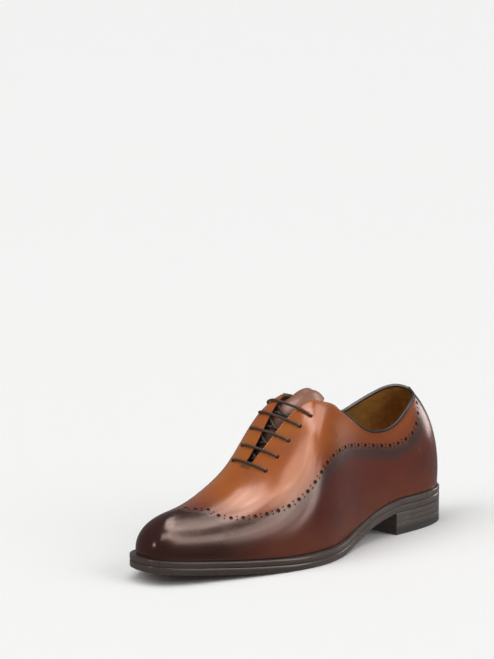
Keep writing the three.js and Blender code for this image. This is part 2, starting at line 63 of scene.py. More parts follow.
# distance in metres within which points are merged
WELD = 2e-6
TINY = 1e-6
BUMP_DEPTH = 0.0002


class Side(Enum):
    """The two sides of the shoe, with the sign that each has across it."""

    OUTER = 1
    INNER = -1


def smooth(start: float, end: float, value: np.ndarray) -> np.ndarray:
    """Eases from 0 at start to 1 at end."""
    share = np.clip((np.asarray(value, float) - start) / (end - start), 0, 1)
    return share * share * (3 - 2 * share)


def read_table(rows: Sequence[tuple], column: int, at: np.ndarray) -> np.ndarray:
    """Smooth curve through one column of a table whose first column is the place.

    Args:
        rows: The table's rows, in order of place.
        column: Number of the column to read.
        at: Places to read it at.

    Returns:
        The curve's values there.
    """
    table = np.array(rows, float)
    key, value = table[:, 0], table[:, column]
    before = np.r_[0, np.arange(len(key) - 1)]
    after = np.r_[np.arange(1, len(key)), len(key) - 1]
    slope = (value[after] - value[before]) / (key[after] - key[before])
    at = np.clip(np.asarray(at, float), key[0], key[-1])
    i = np.clip(np.searchsorted(key, at, side="right") - 1, 0, len(key) - 2)
    span = key[i + 1] - key[i]
    f = (at - key[i]) / span
    rise = f * f * (3 - 2 * f)
    pull = span * (f * (1 - f) ** 2 * slope[i] + f * f * (f - 1) * slope[i + 1])
    return value[i] + (value[i + 1] - value[i]) * rise + pull


def path_lengths(path: np.ndarray) -> np.ndarray:
    """Length along a path at each of its points."""
    return np.r_[0, np.cumsum(np.linalg.norm(np.diff(path, axis=0), axis=1))]


def at_length(place: float | np.ndarray, run: np.ndarray, rows: np.ndarray) -> np.ndarray:
    """Rows of three numbers read at a length along their path."""
    return np.stack([np.interp(place, run, rows[:, k]) for k in range(3)], axis=-1)


class Section(NamedTuple):
    """A row of the last's table, in shares of its length, ball width and instep height.

    The lower edge stands along the shoe and reaches out to each side; the wall bulges past it at
    the lift. The ridge has its own place and height, and the shoulder reaches out from it and drops.
    """

    along: float
    outer: float
    inner: float
    outer_bulge: float
    inner_bulge: float
    lift: float
    ridge_along: float
    ridge_up: float
    outer_reach: float
    inner_reach: float
    drop: float


@dataclass(frozen=True)
class Last:
    """The form inside the shoe, with the sizes of the part's source, drawn in a little at the heel's top.

    The ring of upright curves starts at the heel, runs along the outer side to the toe and
    back along the inner side. A place on it is a turn around the ring and an up along the
    curve, from 0 at the lower edge to 1 on the ridge. Sizes are in millimetres, and places and
    spans along the shoe are shares of its length.
    """

    length: float = 304.0
    ball_width: float = 92.0
    instep_height: float = 110.0
    heel_height: float = 18.0
    arch_span: tuple = (0.191, 0.493)
    ball: float = 0.632
    toe_spring: float = 10.0
    spring_power: float = 1.35
    instep_swing: float = 3.8
    instep_swing_span: tuple = (0.18, 0.48)
    toe_swing: float = 9.0
    toe_swing_span: tuple = (0.50, 0.954)
    outward_lean: float = 0.16
    lean_grows: tuple = (0.30, 0.46)
    lean_fades: tuple = (0.60, 0.80)
    outsole: float = 5.3
    welt: float = 4.2
    clearance: float = 0.3
    heel_ledge: float = 2.0
    fore_ledge: float = 4.5
    ledge_span: tuple = (0.3, 0.6)
    binding_height: float = 2.2
    binding_end: float = 0.415
    throat_foot_gap: float = 3.0
    throat_top_gap: float = 24.0
    throat_foot: float = 0.643
    throat_top: float = 0.480
    slit_end: float = 0.657
    corner_start: float = 0.385
    corner_rounding: float = 0.03
    corner_depth: float = 0.7
    # turns on both sides of the heel over which the outer edge passes into the inner one
    heel_blend: float = 3.0
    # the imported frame's origin
    middle_x: float = 152.186
    middle_y: float = -1.351
    # columns as in Section
    sections: tuple = (
        (0.010, 0.114, 0.114, 0.043, 0.047, 0.37, 0.147, 0.820, 0.82, 0.83, 0.12),
        (0.043, 0.234, 0.223, 0.033, 0.038, 0.38, 0.158, 0.826, 0.82, 0.85, 0.13),
        (0.123, 0.304, 0.299, 0.026, 0.037, 0.39, 0.190, 0.835, 0.88, 0.90, 0.13),
        (0.230, 0.293, 0.293, 0.043, 0.060, 0.40, 0.262, 0.860, 1.04, 1.04, 0.15),
        (0.336, 0.288, 0.266, 0.060, 0.098, 0.42, 0.349, 0.923, 0.94, 1.00, 0.11),
        (0.441, 0.386, 0.348, 0.049, 0.098, 0.46, 0.454, 1.005, 0.93, 0.99, -0.09),
        (0.533, 0.495, 0.467, 0.022, 0.065, 0.48, 0.546, 0.894, 0.99, 1.06, -0.12),
        (0.625, 0.478, 0.516, 0.013, 0.033, 0.49, 0.632, 0.614, 0.79, 0.69, 0.01),
        (0.717, 0.395, 0.511, 0.013, 0.022, 0.52, 0.711, 0.446, 0.74, 0.74, -0.02),
        (0.809, 0.293, 0.467, 0.022, 0.022, 0.55, 0.783, 0.370, 0.64, 0.60, 0.01),
        (0.888, 0.190, 0.413, 0.022, 0.022, 0.55, 0.822, 0.335, 0.64, 0.62, 0.01),
        (0.952, 0.098, 0.348, 0.022, 0.022, 0.55, 0.849, 0.321, 0.65, 0.66, 0.03),
        (0.985, 0.013, 0.234, 0.022, 0.022, 0.55, 0.868, 0.314, 0.66, 0.67, 0.05),
    )
    heel_row: tuple = (0.003, 0.0, 0.0, 0.054, 0.054, 0.38, 0.143, 0.818, 0.84, 0.84, 0.11)
    toe_row: tuple = (0.989, -0.098, 0.098, 0.022, 0.022, 0.55, 0.882, 0.309, 0.63, 0.63, 0.07)
    # along, outer height, inner height
    topline: tuple = (
        (0.050, 0.704, 0.745), (0.090, 0.694, 0.764), (0.125, 0.668, 0.748), (0.165, 0.617, 0.698),
        (0.210, 0.558, 0.643), (0.250, 0.543, 0.613), (0.290, 0.568, 0.616), (0.325, 0.620, 0.650),
        (0.360, 0.712, 0.724), (0.395, 0.822, 0.826), (0.430, 0.910, 0.912), (0.480, 0.975, 0.975),
    )
    ring: np.ndarray = field(init=False, repr=False, compare=False)

    def __post_init__(self) -> None:
        """Works out the ring of control curves once."""
        line = [Section(*row) for row in (self.heel_row, *self.sections, self.toe_row)]
        outer = [self._control(line, i, Side.OUTER) for i in range(len(line))]
        inner = [self._control(line, i, Side.INNER) for i in range(1, len(line) - 1)]
        object.__setattr__(self, "ring", np.array(outer + inner[::-1]))

    @property
    def turns(self) -> int:
        """Number of control curves around the ring."""
        return len(self.ring)

    @property
    def toe_turn(self) -> float:
        """Turn of the toe's middle."""
        return self.turns / 2

    def eased(self, span: Sequence[float], x: np.ndarray) -> np.ndarray:
        """Eases from 0 to 1 over a span in shares of the length."""
        return smooth(span[0] * self.length, span[1] * self.length, x)

    def sole_height(self, x: np.ndarray) -> np.ndarray:
        """Height of the outsole's underside above the floor.

        Args:
            x: Places along the shoe.

        Returns:
            The height at each place.
        """
        arch = self.heel_height * (1 - self.eased(self.arch_span, x))
        start = self.ball * self.length
        beyond = np.clip((np.asarray(x, float) - start) / (self.length - start), 0, None)
        return arch + self.toe_spring * beyond ** self.spring_power

    @property
    def feather_rise(self) -> float:
        """Height of the last's lower edge above the outsole's underside."""
        return self.outsole + self.welt + 2 * self.clearance

    def feather_height(self, x: np.ndarray) -> np.ndarray:
        """Height of the last's lower edge above the floor."""
        return self.sole_height(x) + self.feather_rise

    def centre_side(self, x: np.ndarray) -> np.ndarray:
        """Place across the shoe of the last's ridge."""
        instep = self.instep_swing * self.eased(self.instep_swing_span, x)
        return -instep - (self.toe_swing - self.instep_swing) * self.eased(self.toe_swing_span, x)

    def _ridge_height(self, row: Section) -> float:
        """Height of a row's ridge point above the floor."""
        return float(self.feather_height(row.ridge_along * self.length)) + row.ridge_up * self.instep_height

    def _control(self, line: Sequence[Section], index: int, side: Side) -> np.ndarray:
        """One upright control curve.

        Args:
            line: The table's rows from heel to toe.
            index: Number of the curve's row.
            side: Side of the shoe that the curve stands on.

        Returns:
            Its foot, wall, shoulder and ridge, a row of x, y, z for each.
        """
        row = line[index]
        outer = side is Side.OUTER
        half = row.outer if outer else -row.inner
        bulge = row.outer_bulge if outer else row.inner_bulge
        reach = row.outer_reach if outer else row.inner_reach
        x = row.along * self.length
        foot = np.array([x, half * self.ball_width, float(self.feather_height(x))])
        ridge_x = row.ridge_along * self.length
        ridge = np.array([ridge_x, float(self.centre_side(ridge_x)), self._ridge_height(row)])
        out = foot[:2] - ridge[:2]
        breadth = float(np.hypot(*out))
        out = out / breadth
        rise = ridge[2] - foot[2]
        wall = np.array([*(foot[:2] + out * bulge * self.ball_width), foot[2] + row.lift * rise])
        shoulder = np.array([*(ridge[:2] + out * breadth * reach), ridge[2]])
        before, after = line[max(index - 1, 0)], line[min(index + 1, len(line) - 1)]
        run = (after.ridge_along - before.ridge_along) * self.length
        slope = (self._ridge_height(after) - self._ridge_height(before)) / run
        lean = float(self.outward_lean * self.eased(self.lean_grows, ridge_x)
                     * (1 - self.eased(self.lean_fades, ridge_x)))
        shoulder[2] += slope * (shoulder[0] - ridge_x) - lean * (shoulder[1] - ridge[1]) - row.drop * rise
        return np.array([foot, wall, shoulder, ridge])

    def curves(self, turn: np.ndarray) -> np.ndarray:
        """Upright curves blended from their four nearest control curves.

        Args:
            turn: Turns around the ring.

        Returns:
            The four points of each turn's curve.
        """
        turn = np.atleast_1d(np.asarray(turn, float))
        i = np.floor(turn).astype(int)
        f = turn - i
        weights = np.stack([(1 - f) ** 3, 3 * f ** 3 - 6 * f ** 2 + 4,
                            -3 * f ** 3 + 3 * f ** 2 + 3 * f + 1, f ** 3]) / 6
        curve = sum(weights[k][:, None, None] * self.ring[(i - 1 + k) % self.turns] for k in range(4))
        curve[:, 0, 2] = self.feather_height(curve[:, 0, 0])
        return curve

    def points(self, turn: np.ndarray, up: np.ndarray) -> np.ndarray:
        """Places on the last's surface.

        Args:
            turn: Turns around the ring.
            up: Heights along the upright curves, as many as turns.

        Returns:
            One row of x, y, z for each place.
        """
        curve = self.curves(turn)
        up = np.broadcast_to(np.asarray(up, float), (len(curve),))
        down = 1 - up
        shares = (down ** 3, 3 * up * down ** 2, 3 * up ** 2 * down, up ** 3)
        return sum(s[:, None] * curve[:, k] for k, s in enumerate(shares))

    def normals(self, turn: np.ndarray, up: np.ndarray) -> np.ndarray:
        """Outward directions of the last's surface.

        Args:
            turn: Turns around the ring.
            up: Heights along the upright curves.

        Returns:
            A direction for each place; on the ridge both sides share one.
        """
        turn = np.atleast_1d(np.asarray(turn, float))
        up = np.broadcast_to(np.asarray(up, float), turn.shape)
        on_ridge = 0.999
        share = np.where(up > on_ridge, 0.5, 0.0)[:, None]
        both = self._one_sided(turn, up) * (1 - share) + self._one_sided(self.turns - turn, up) * share
        return both / np.linalg.norm(both, axis=1)[:, None]

    def _one_sided(self, turn: np.ndarray, up: np.ndarray) -> np.ndarray:
        """Outward directions taken from one side of the ring.

        Args:
            turn: Turns around the ring.
            up: Heights along the upright curves.

        Returns:
            A direction for each place.
        """
        step = 0.02
        around = self.points(turn + step, up) - self.points(turn - step, up)
        rising = self.points(turn, np.minimum(up + step, 1)) - self.points(turn, np.maximum(up - step, 0))
        normal = np.cross(rising, around)
        return normal / np.linalg.norm(normal, axis=1)[:, None]

    def offset(self, turn: np.ndarray, up: np.ndarray, distance: float | np.ndarray) -> np.ndarray:
        """Places a distance outside the last's surface, or inside it where negative."""
        reach = np.asarray(distance, float)[..., None]
        return self.points(turn, up) + self.normals(turn, up) * reach

    def up_where(self, turn: np.ndarray, test: Callable[[np.ndarray], np.ndarray],
                 halvings: int = 26) -> np.ndarray:
        """Height on each upright curve where a test on its points first holds.

        Args:
            turn: Turns around the ring.
            test: Says of points whether it holds.
            halvings: How often the span is halved.

        Returns:
            The height for each turn.
        """
        turn = np.atleast_1d(np.asarray(turn, float))
        low, high = np.zeros(len(turn)), np.ones(len(turn))
        for _ in range(halvings):
            middle = (low + high) / 2
            holds = test(self.points(turn, middle))
            high = np.where(holds, middle, high)
            low = np.where(holds, low, middle)
        return high

    def up_at_half_width(self, turn: np.ndarray, half_width: np.ndarray) -> np.ndarray:
        """Height where the curve comes within a distance of the ridge's plane."""
        return self.up_where(turn, lambda p: np.abs(p[:, 1] - self.centre_side(p[:, 0])) < half_width)

    def turn_at_ridge(self, x: float, halvings: int = 40) -> float:
        """Turn on the outer side whose ridge point lies at a place along the shoe.

        Args:
            x: The place along the shoe.
            halvings: How often the span is halved.

        Returns:
            The turn.
        """
        low, high = 0.0, self.toe_turn
        for _ in range(halvings):
            middle = (low + high) / 2
            if self.curves(middle)[0, 3, 0] > x:
                high = middle
            else:
                low = middle
        return (low + high) / 2

    def half_gap(self, x: np.ndarray) -> np.ndarray:
        """Half of the space between the facings."""
        opened = (self.throat_foot * self.length - x) / ((self.throat_foot - self.throat_top) * self.length)
        widening = self.throat_top_gap - self.throat_foot_gap
        return (self.throat_foot_gap + widening * np.clip(opened, 0, None)) / 2

    def _over_collar(self, points: np.ndarray, outer_share: np.ndarray) -> np.ndarray:
        """Whether points on the last lie above the collar's edge.

        Args:
            points: One row of x, y, z for each upright curve.
            outer_share: How far each curve takes the outer side's edge.

        Returns:
            True where a point lies above it.
        """
        x = points[:, 0]
        shares = (outer_share * read_table(self.topline, 1, x / self.length)
                  + (1 - outer_share) * read_table(self.topline, 2, x / self.length))
        end = self.binding_end * self.length
        bound = 1 - smooth(end - self.binding_height, end + self.binding_height, x)
        rim = self.feather_height(x) + shares * self.instep_height
        return points[:, 2] > rim - (self.binding_height + self.clearance) * bound

    def _past_facing(self, points: np.ndarray) -> np.ndarray:
        """Whether points on the last lie in the space between the facings."""
        near = np.abs(points[:, 1] - self.centre_side(points[:, 0])) < self.half_gap(points[:, 0])
        return near & (points[:, 0] > self.corner_start * self.length)

    def top_of_upper(self, turn: np.ndarray) -> np.ndarray:
        """Height of the upper's top edge along the collar and the facings.

        Args:
            turn: Turns around the ring.

        Returns:
            The height for each turn, 1 where the upper closes on the ridge.
        """
        turn = np.atleast_1d(np.asarray(turn, float))
        outer = turn <= self.toe_turn
        outer_share = smooth(-self.heel_blend, self.heel_blend, np.where(outer, turn, turn - self.turns))
        collar = self.up_where(turn, lambda points: self._over_collar(points, outer_share))
        facing = self.up_where(turn, self._past_facing)
        nearest, other = np.minimum(collar, facing), np.maximum(collar, facing)
        rounding = self.corner_rounding
        top = nearest - rounding * np.exp(-(other - nearest) / rounding) * self.corner_depth
        slit = self.turn_at_ridge(self.slit_end * self.length)
        closed = np.where(outer, turn, self.turns - turn) >= slit - TINY
        return np.where(closed, 1.0, top)

    def stations(self, steps: Sequence[int]) -> np.ndarray:
        """Turns all around the ring, closed, with as many steps on each stretch of a side as named.

        Args:
            steps: Steps to the facing corner, over it, along the throat and over the toe.

        Returns:
            Turns from 0 to a whole turn.
        """
        marks = [0.0, *(self.turn_at_ridge(share * self.length)
                        for share in (self.corner_start, self.throat_top, self.slit_end)), self.toe_turn]
        half = np.concatenate([np.linspace(a, b, n + 1)[:-1] for a, b, n in zip(marks, marks[1:], steps)])
        return np.concatenate([half, [self.toe_turn], self.turns - half[::-1]])

    def foot_ring(self, turn: np.ndarray, outwards: Callable[[np.ndarray], np.ndarray]) -> np.ndarray:
        """Outline of a bottom piece: the last's lower edge moved outwards in plan.

        Args:
            turn: Turns around the ring.
            outwards: Says how far at a place along the shoe.

        Returns:
            One row of x and y for each turn.
        """
        step = 0.02
        foot = self.curves(turn)[:, 0]
        along = self.curves(turn + step)[:, 0] - self.curves(turn - step)[:, 0]
        out = np.stack([-along[:, 1], along[:, 0]], axis=1)
        out /= np.linalg.norm(out, axis=1)[:, None]
        return foot[:, :2] + out * np.asarray(outwards(foot[:, 0]))[:, None]

    def ledge(self, x: np.ndarray) -> np.ndarray:
        """How far the sole stands out past the upper."""
        return self.heel_ledge + (self.fore_ledge - self.heel_ledge) * self.eased(self.ledge_span, x)

    def across_ridge(self, turn: float, half_width: float, share: np.ndarray) -> tuple[np.ndarray, np.ndarray]:
        """Places in a row across the ridge.

        Args:
            turn: Turn of the row on the outer side.
            half_width: Half of the row's width.
            share: Places along it, from -1 inside to 1 outside.

        Returns:
            The turns and the heights of the places.
        """
        share = np.asarray(share, float)
        turns = np.where(share >= 0, turn, self.turns - turn)
        ups = self.up_at_half_width(turns, half_width * np.abs(share) + TINY)
        return turns, np.where(np.abs(share) < TINY, 1.0, ups)

    def to_part(self, points: np.ndarray) -> np.ndarray:
        """Moves millimetres from the heel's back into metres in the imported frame."""
        return (np.asarray(points, float) - [self.middle_x, self.middle_y, 0.0]) * MILLIMETRE


@dataclass
class Piece:
    """A mesh in the making, which becomes one object of the scene."""

    name: str
    bm: bmesh.types.BMesh = field(default_factory=bmesh.new)

    def sheet(self, points: np.ndarray, flip: bool = False, material: int = 0,
              uvs: dict[str, np.ndarray] | None = None) -> list[bmesh.types.BMVert]:
        """Adds a grid bent to rows of points.

        Args:
            points: Places in metres, by row and by column.
            flip: Whether they look the other way.
            material: Slot number of the new faces.
            uvs: UV values for each point, by map name.

        Returns:
            The new vertices.
        """
        rows, columns = points.shape[:2]
        made = bmesh.ops.create_grid(self.bm, x_segments=rows - 1, y_segments=columns - 1, size=1.0)["verts"]
        place = {}
        for vert in made:
            i = round((vert.co.x + 1) / 2 * (rows - 1))
            j = round((vert.co.y + 1) / 2 * (columns - 1))
            place[vert] = (i, j)
        faces = list({face for vert in made for face in vert.link_faces})
        maps = self.bm.loops.layers.uv
        layers = {name: maps.get(name) or maps.new(name) for name in uvs or {}}
        for name, layer in layers.items():
            values = uvs[name]
            for face in faces:
                for loop in face.loops:
                    loop[layer].uv = values[place[loop.vert]]
        for vert, spot in place.items():
            vert.co = points[spot]
        if flip:
            bmesh.ops.reverse_faces(self.bm, faces=faces)
        for face in faces:
            face.material_index = material
            face.smooth = True
        return made

    def weld(self, distance: float = WELD) -> None:
        """Merges points that lie together."""
        bmesh.ops.remove_doubles(self.bm, verts=self.bm.verts[:], dist=distance)

    def outward(self) -> None:
        """Turns all faces of a closed mesh outwards."""
        bmesh.ops.recalc_face_normals(self.bm, faces=self.bm.faces[:])

    def finish(self, materials: Sequence[bpy.types.Material], sharp_degrees: float = 40.0) -> bpy.types.Object:
        """Makes the object.

        Args:
            materials: Its material slots in order.
            sharp_degrees: Edges bent more than this stay sharp.

        Returns:
            The object, with its place in its mesh.
        """
        mesh = bpy.data.meshes.new(self.name)
        self.bm.to_mesh(mesh)
        self.bm.free()
        for material in materials:
            mesh.materials.append(material)
        mesh.polygons.foreach_set("use_smooth", [True] * len(mesh.polygons))
        mesh.set_sharp_from_angle(angle=math.radians(sharp_degrees))
        obj = bpy.data.objects.new(self.name, mesh)
        bpy.context.scene.collection.objects.link(obj)
        return obj


def mount_piece(obj: bpy.types.Object, nodes: Iterable[str]) -> bpy.types.Object:
    """Lets a finished piece ride on the shoe and stand for its solids.

    Args:
        obj: The piece.
        nodes: Solids that it replaces.

    Returns:
        The piece.
    """
    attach(obj, "root")
    if nodes:
        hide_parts(*nodes)
    LOG.info("%s: %d faces", obj.name, len(obj.data.polygons))
    return obj


def applied(obj: bpy.types.Object) -> bpy.types.Object:
    """Fixes an object's modifiers into its mesh.

    Args:
        obj: The object, whose old mesh is removed.

    Returns:
        The same object.
    """
    graph = bpy.context.evaluated_depsgraph_get()
    mesh = bpy.data.meshes.new_from_object(obj.evaluated_get(graph), preserve_all_data_layers=True,
                                           depsgraph=graph)
    obj.modifiers.clear()
    old = obj.data
    obj.data = mesh
    bpy.data.meshes.remove(old)
    return obj


class Fade(NamedTuple):
    """An eased change of a share, from the one before its start to the one after its end."""

    start: float
    end: float
    before: float = 0.0
    after: float = 1.0


# how much of a leather's second colour its clouds bring
MOTTLE = Fade(0.35, 0.68)


class Graph:
    """Short way to place and link shader nodes."""

    def __init__(self, tree: bpy.types.NodeTree) -> None:
        """Keeps the node tree that is built."""
        self.tree = tree

    def feed(self, node: bpy.types.Node, inputs: dict) -> None:
        """Sets or links a node's sockets.

        Args:
            node: The node.
            inputs: Values or other nodes' outputs, by socket name or number.
        """
        for socket, value in inputs.items():
            if isinstance(value, bpy.types.NodeSocket):
                self.tree.links.new(value, node.inputs[socket])
            else:
                node.inputs[socket].default_value = value

    def add(self, kind: str, inputs: dict | None = None, **settings: object) -> bpy.types.Node:
        """Places a node.

        Args:
            kind: Its type, such as ShaderNodeMath.
            inputs: Values or other nodes' outputs, by socket name or number.
            **settings: Properties of the node.

        Returns:
            The node.
        """
        node = self.tree.nodes.new(kind)
        for name, value in settings.items():
            setattr(node, name, value)
        self.feed(node, inputs or {})
        return node

    def math(self, operation: str, *values: object) -> bpy.types.NodeSocket:
        """A sum, product or other operation on numbers and sockets."""
        return self.add("ShaderNodeMath", dict(enumerate(values)), operation=operation).outputs[0]

    def fade(self, value: object, fade: Fade) -> bpy.types.NodeSocket:
        """The share that a fade gives for a number."""
        inputs = {"Value": value, "From Min": fade.start, "From Max": fade.end,
                  "To Min": fade.before, "To Max": fade.after}
        return self.add("ShaderNodeMapRange", inputs, interpolation_type="SMOOTHSTEP").outputs["Result"]

    def blend(self, share: object, first: object, second: object) -> bpy.types.NodeSocket:
        """Mixes two colours, or outputs of them, by the share of the second."""
        colours = [value if isinstance(value, bpy.types.NodeSocket) else (*value, 1.0)
                   for value in (first, second)]
        return self.add("ShaderNodeMix", {0: share, 6: colours[0], 7: colours[1]}, data_type="RGBA").outputs[2]

    def noise(self, vector: object, scale: float, detail: float = 3.0,
              distortion: float = 0.0) -> bpy.types.NodeSocket:
        """Cloudy noise from 0 to 1."""
        inputs = {"Vector": vector, "Scale": scale, "Detail": detail, "Distortion": distortion}
        return self.add("ShaderNodeTexNoise", inputs).outputs[0]

    def place(self) -> bpy.types.NodeSocket:
        """Places on the piece, in metres."""
        return self.add("ShaderNodeTexCoord").outputs["Object"]

    def uv(self, name: str) -> bpy.types.NodeSocket:
        """Places on one of the piece's own maps."""
        return self.add("ShaderNodeUVMap", uv_map=name).outputs[0]

    def axis(self, vector: bpy.types.NodeSocket, name: str) -> bpy.types.NodeSocket:
        """One of a vector's three numbers."""
        return self.add("ShaderNodeSeparateXYZ", {0: vector}).outputs[name]

    def rough_clouds(self, clouds: bpy.types.NodeSocket, roughness: float, less: float = 0.05,
                     more: float = 0.05) -> bpy.types.NodeSocket:
        """Roughness that changes with the clouds between less and more than the named one."""
        return self.fade(clouds, Fade(0.3, 0.7, roughness - less, roughness + more))


def leather_grain() -> bpy.types.NodeTree:
    """Shared effect: the fine grain of leather, with a cloudy mask for its colour.

    Returns:
        The node group, made on the first call.
    """
    name = "leather grain"
    if name in bpy.data.node_groups:
        return bpy.data.node_groups[name]
    tree = bpy.data.node_groups.new(name, "ShaderNodeTree")
    kinds = {"Vector": "NodeSocketVector", "Cells": "NodeSocketFloat", "Clouds": "NodeSocketFloat"}
    for label, kind in kinds.items():
        tree.interface.new_socket(name=label, in_out="INPUT", socket_type=kind)
    for label in ("Height", "Clouds"):
        tree.interface.new_socket(name=label, in_out="OUTPUT", socket_type="NodeSocketFloat")
    graph = Graph(tree)
    start = graph.add("NodeGroupInput")
    where, scale = start.outputs["Vector"], start.outputs["Cells"]
    cells = graph.add("ShaderNodeTexVoronoi", {"Vector": where, "Scale": scale}, feature="SMOOTH_F1")
    fine = graph.noise(where, scale, 4.0)
    clouds = graph.add("ShaderNodeTexNoise", {"Vector": where, "Scale": start.outputs["Clouds"],
                                              "Detail": 5.0, "Roughness": 0.6})
    height = graph.math("MULTIPLY_ADD", fine, 0.6, cells.outputs["Distance"])
    end = graph.add("NodeGroupOutput")
    tree.links.new(height, end.inputs["Height"])
    tree.links.new(clouds.outputs[0], end.inputs["Clouds"])
    return tree


def new_material(name: str) -> tuple[bpy.types.Material, Graph, bpy.types.Node]:
    """An empty material with its Principled shader.

    Args:
        name: Its name.

    Returns:
        The material, its graph and its shader node.
    """
    material = bpy.data.materials.new(name)
    material.use_nodes = True
    graph = Graph(material.node_tree)
    shader = material.node_tree.nodes["Principled BSDF"]
    return material, graph, shader


def grain_node(graph: Graph, cells: float, clouds: float) -> bpy.types.Node:
    """Places the shared leather grain on a piece's own coordinates."""
    inputs = {"Vector": graph.place(), "Cells": cells, "Clouds": clouds}
    return graph.add("ShaderNodeGroup", inputs, node_tree=leather_grain())


def dress(graph: Graph, shader: bpy.types.Node, sockets: dict, height: bpy.types.NodeSocket,
          bump: float) -> None:
    """Sets a shader's sockets, and a bump that follows a height."""
    relief = graph.add("ShaderNodeBump", {"Height": height, "Strength": bump, "Distance": BUMP_DEPTH})
    graph.feed(shader, {**sockets, "Normal": relief.outputs[0]})


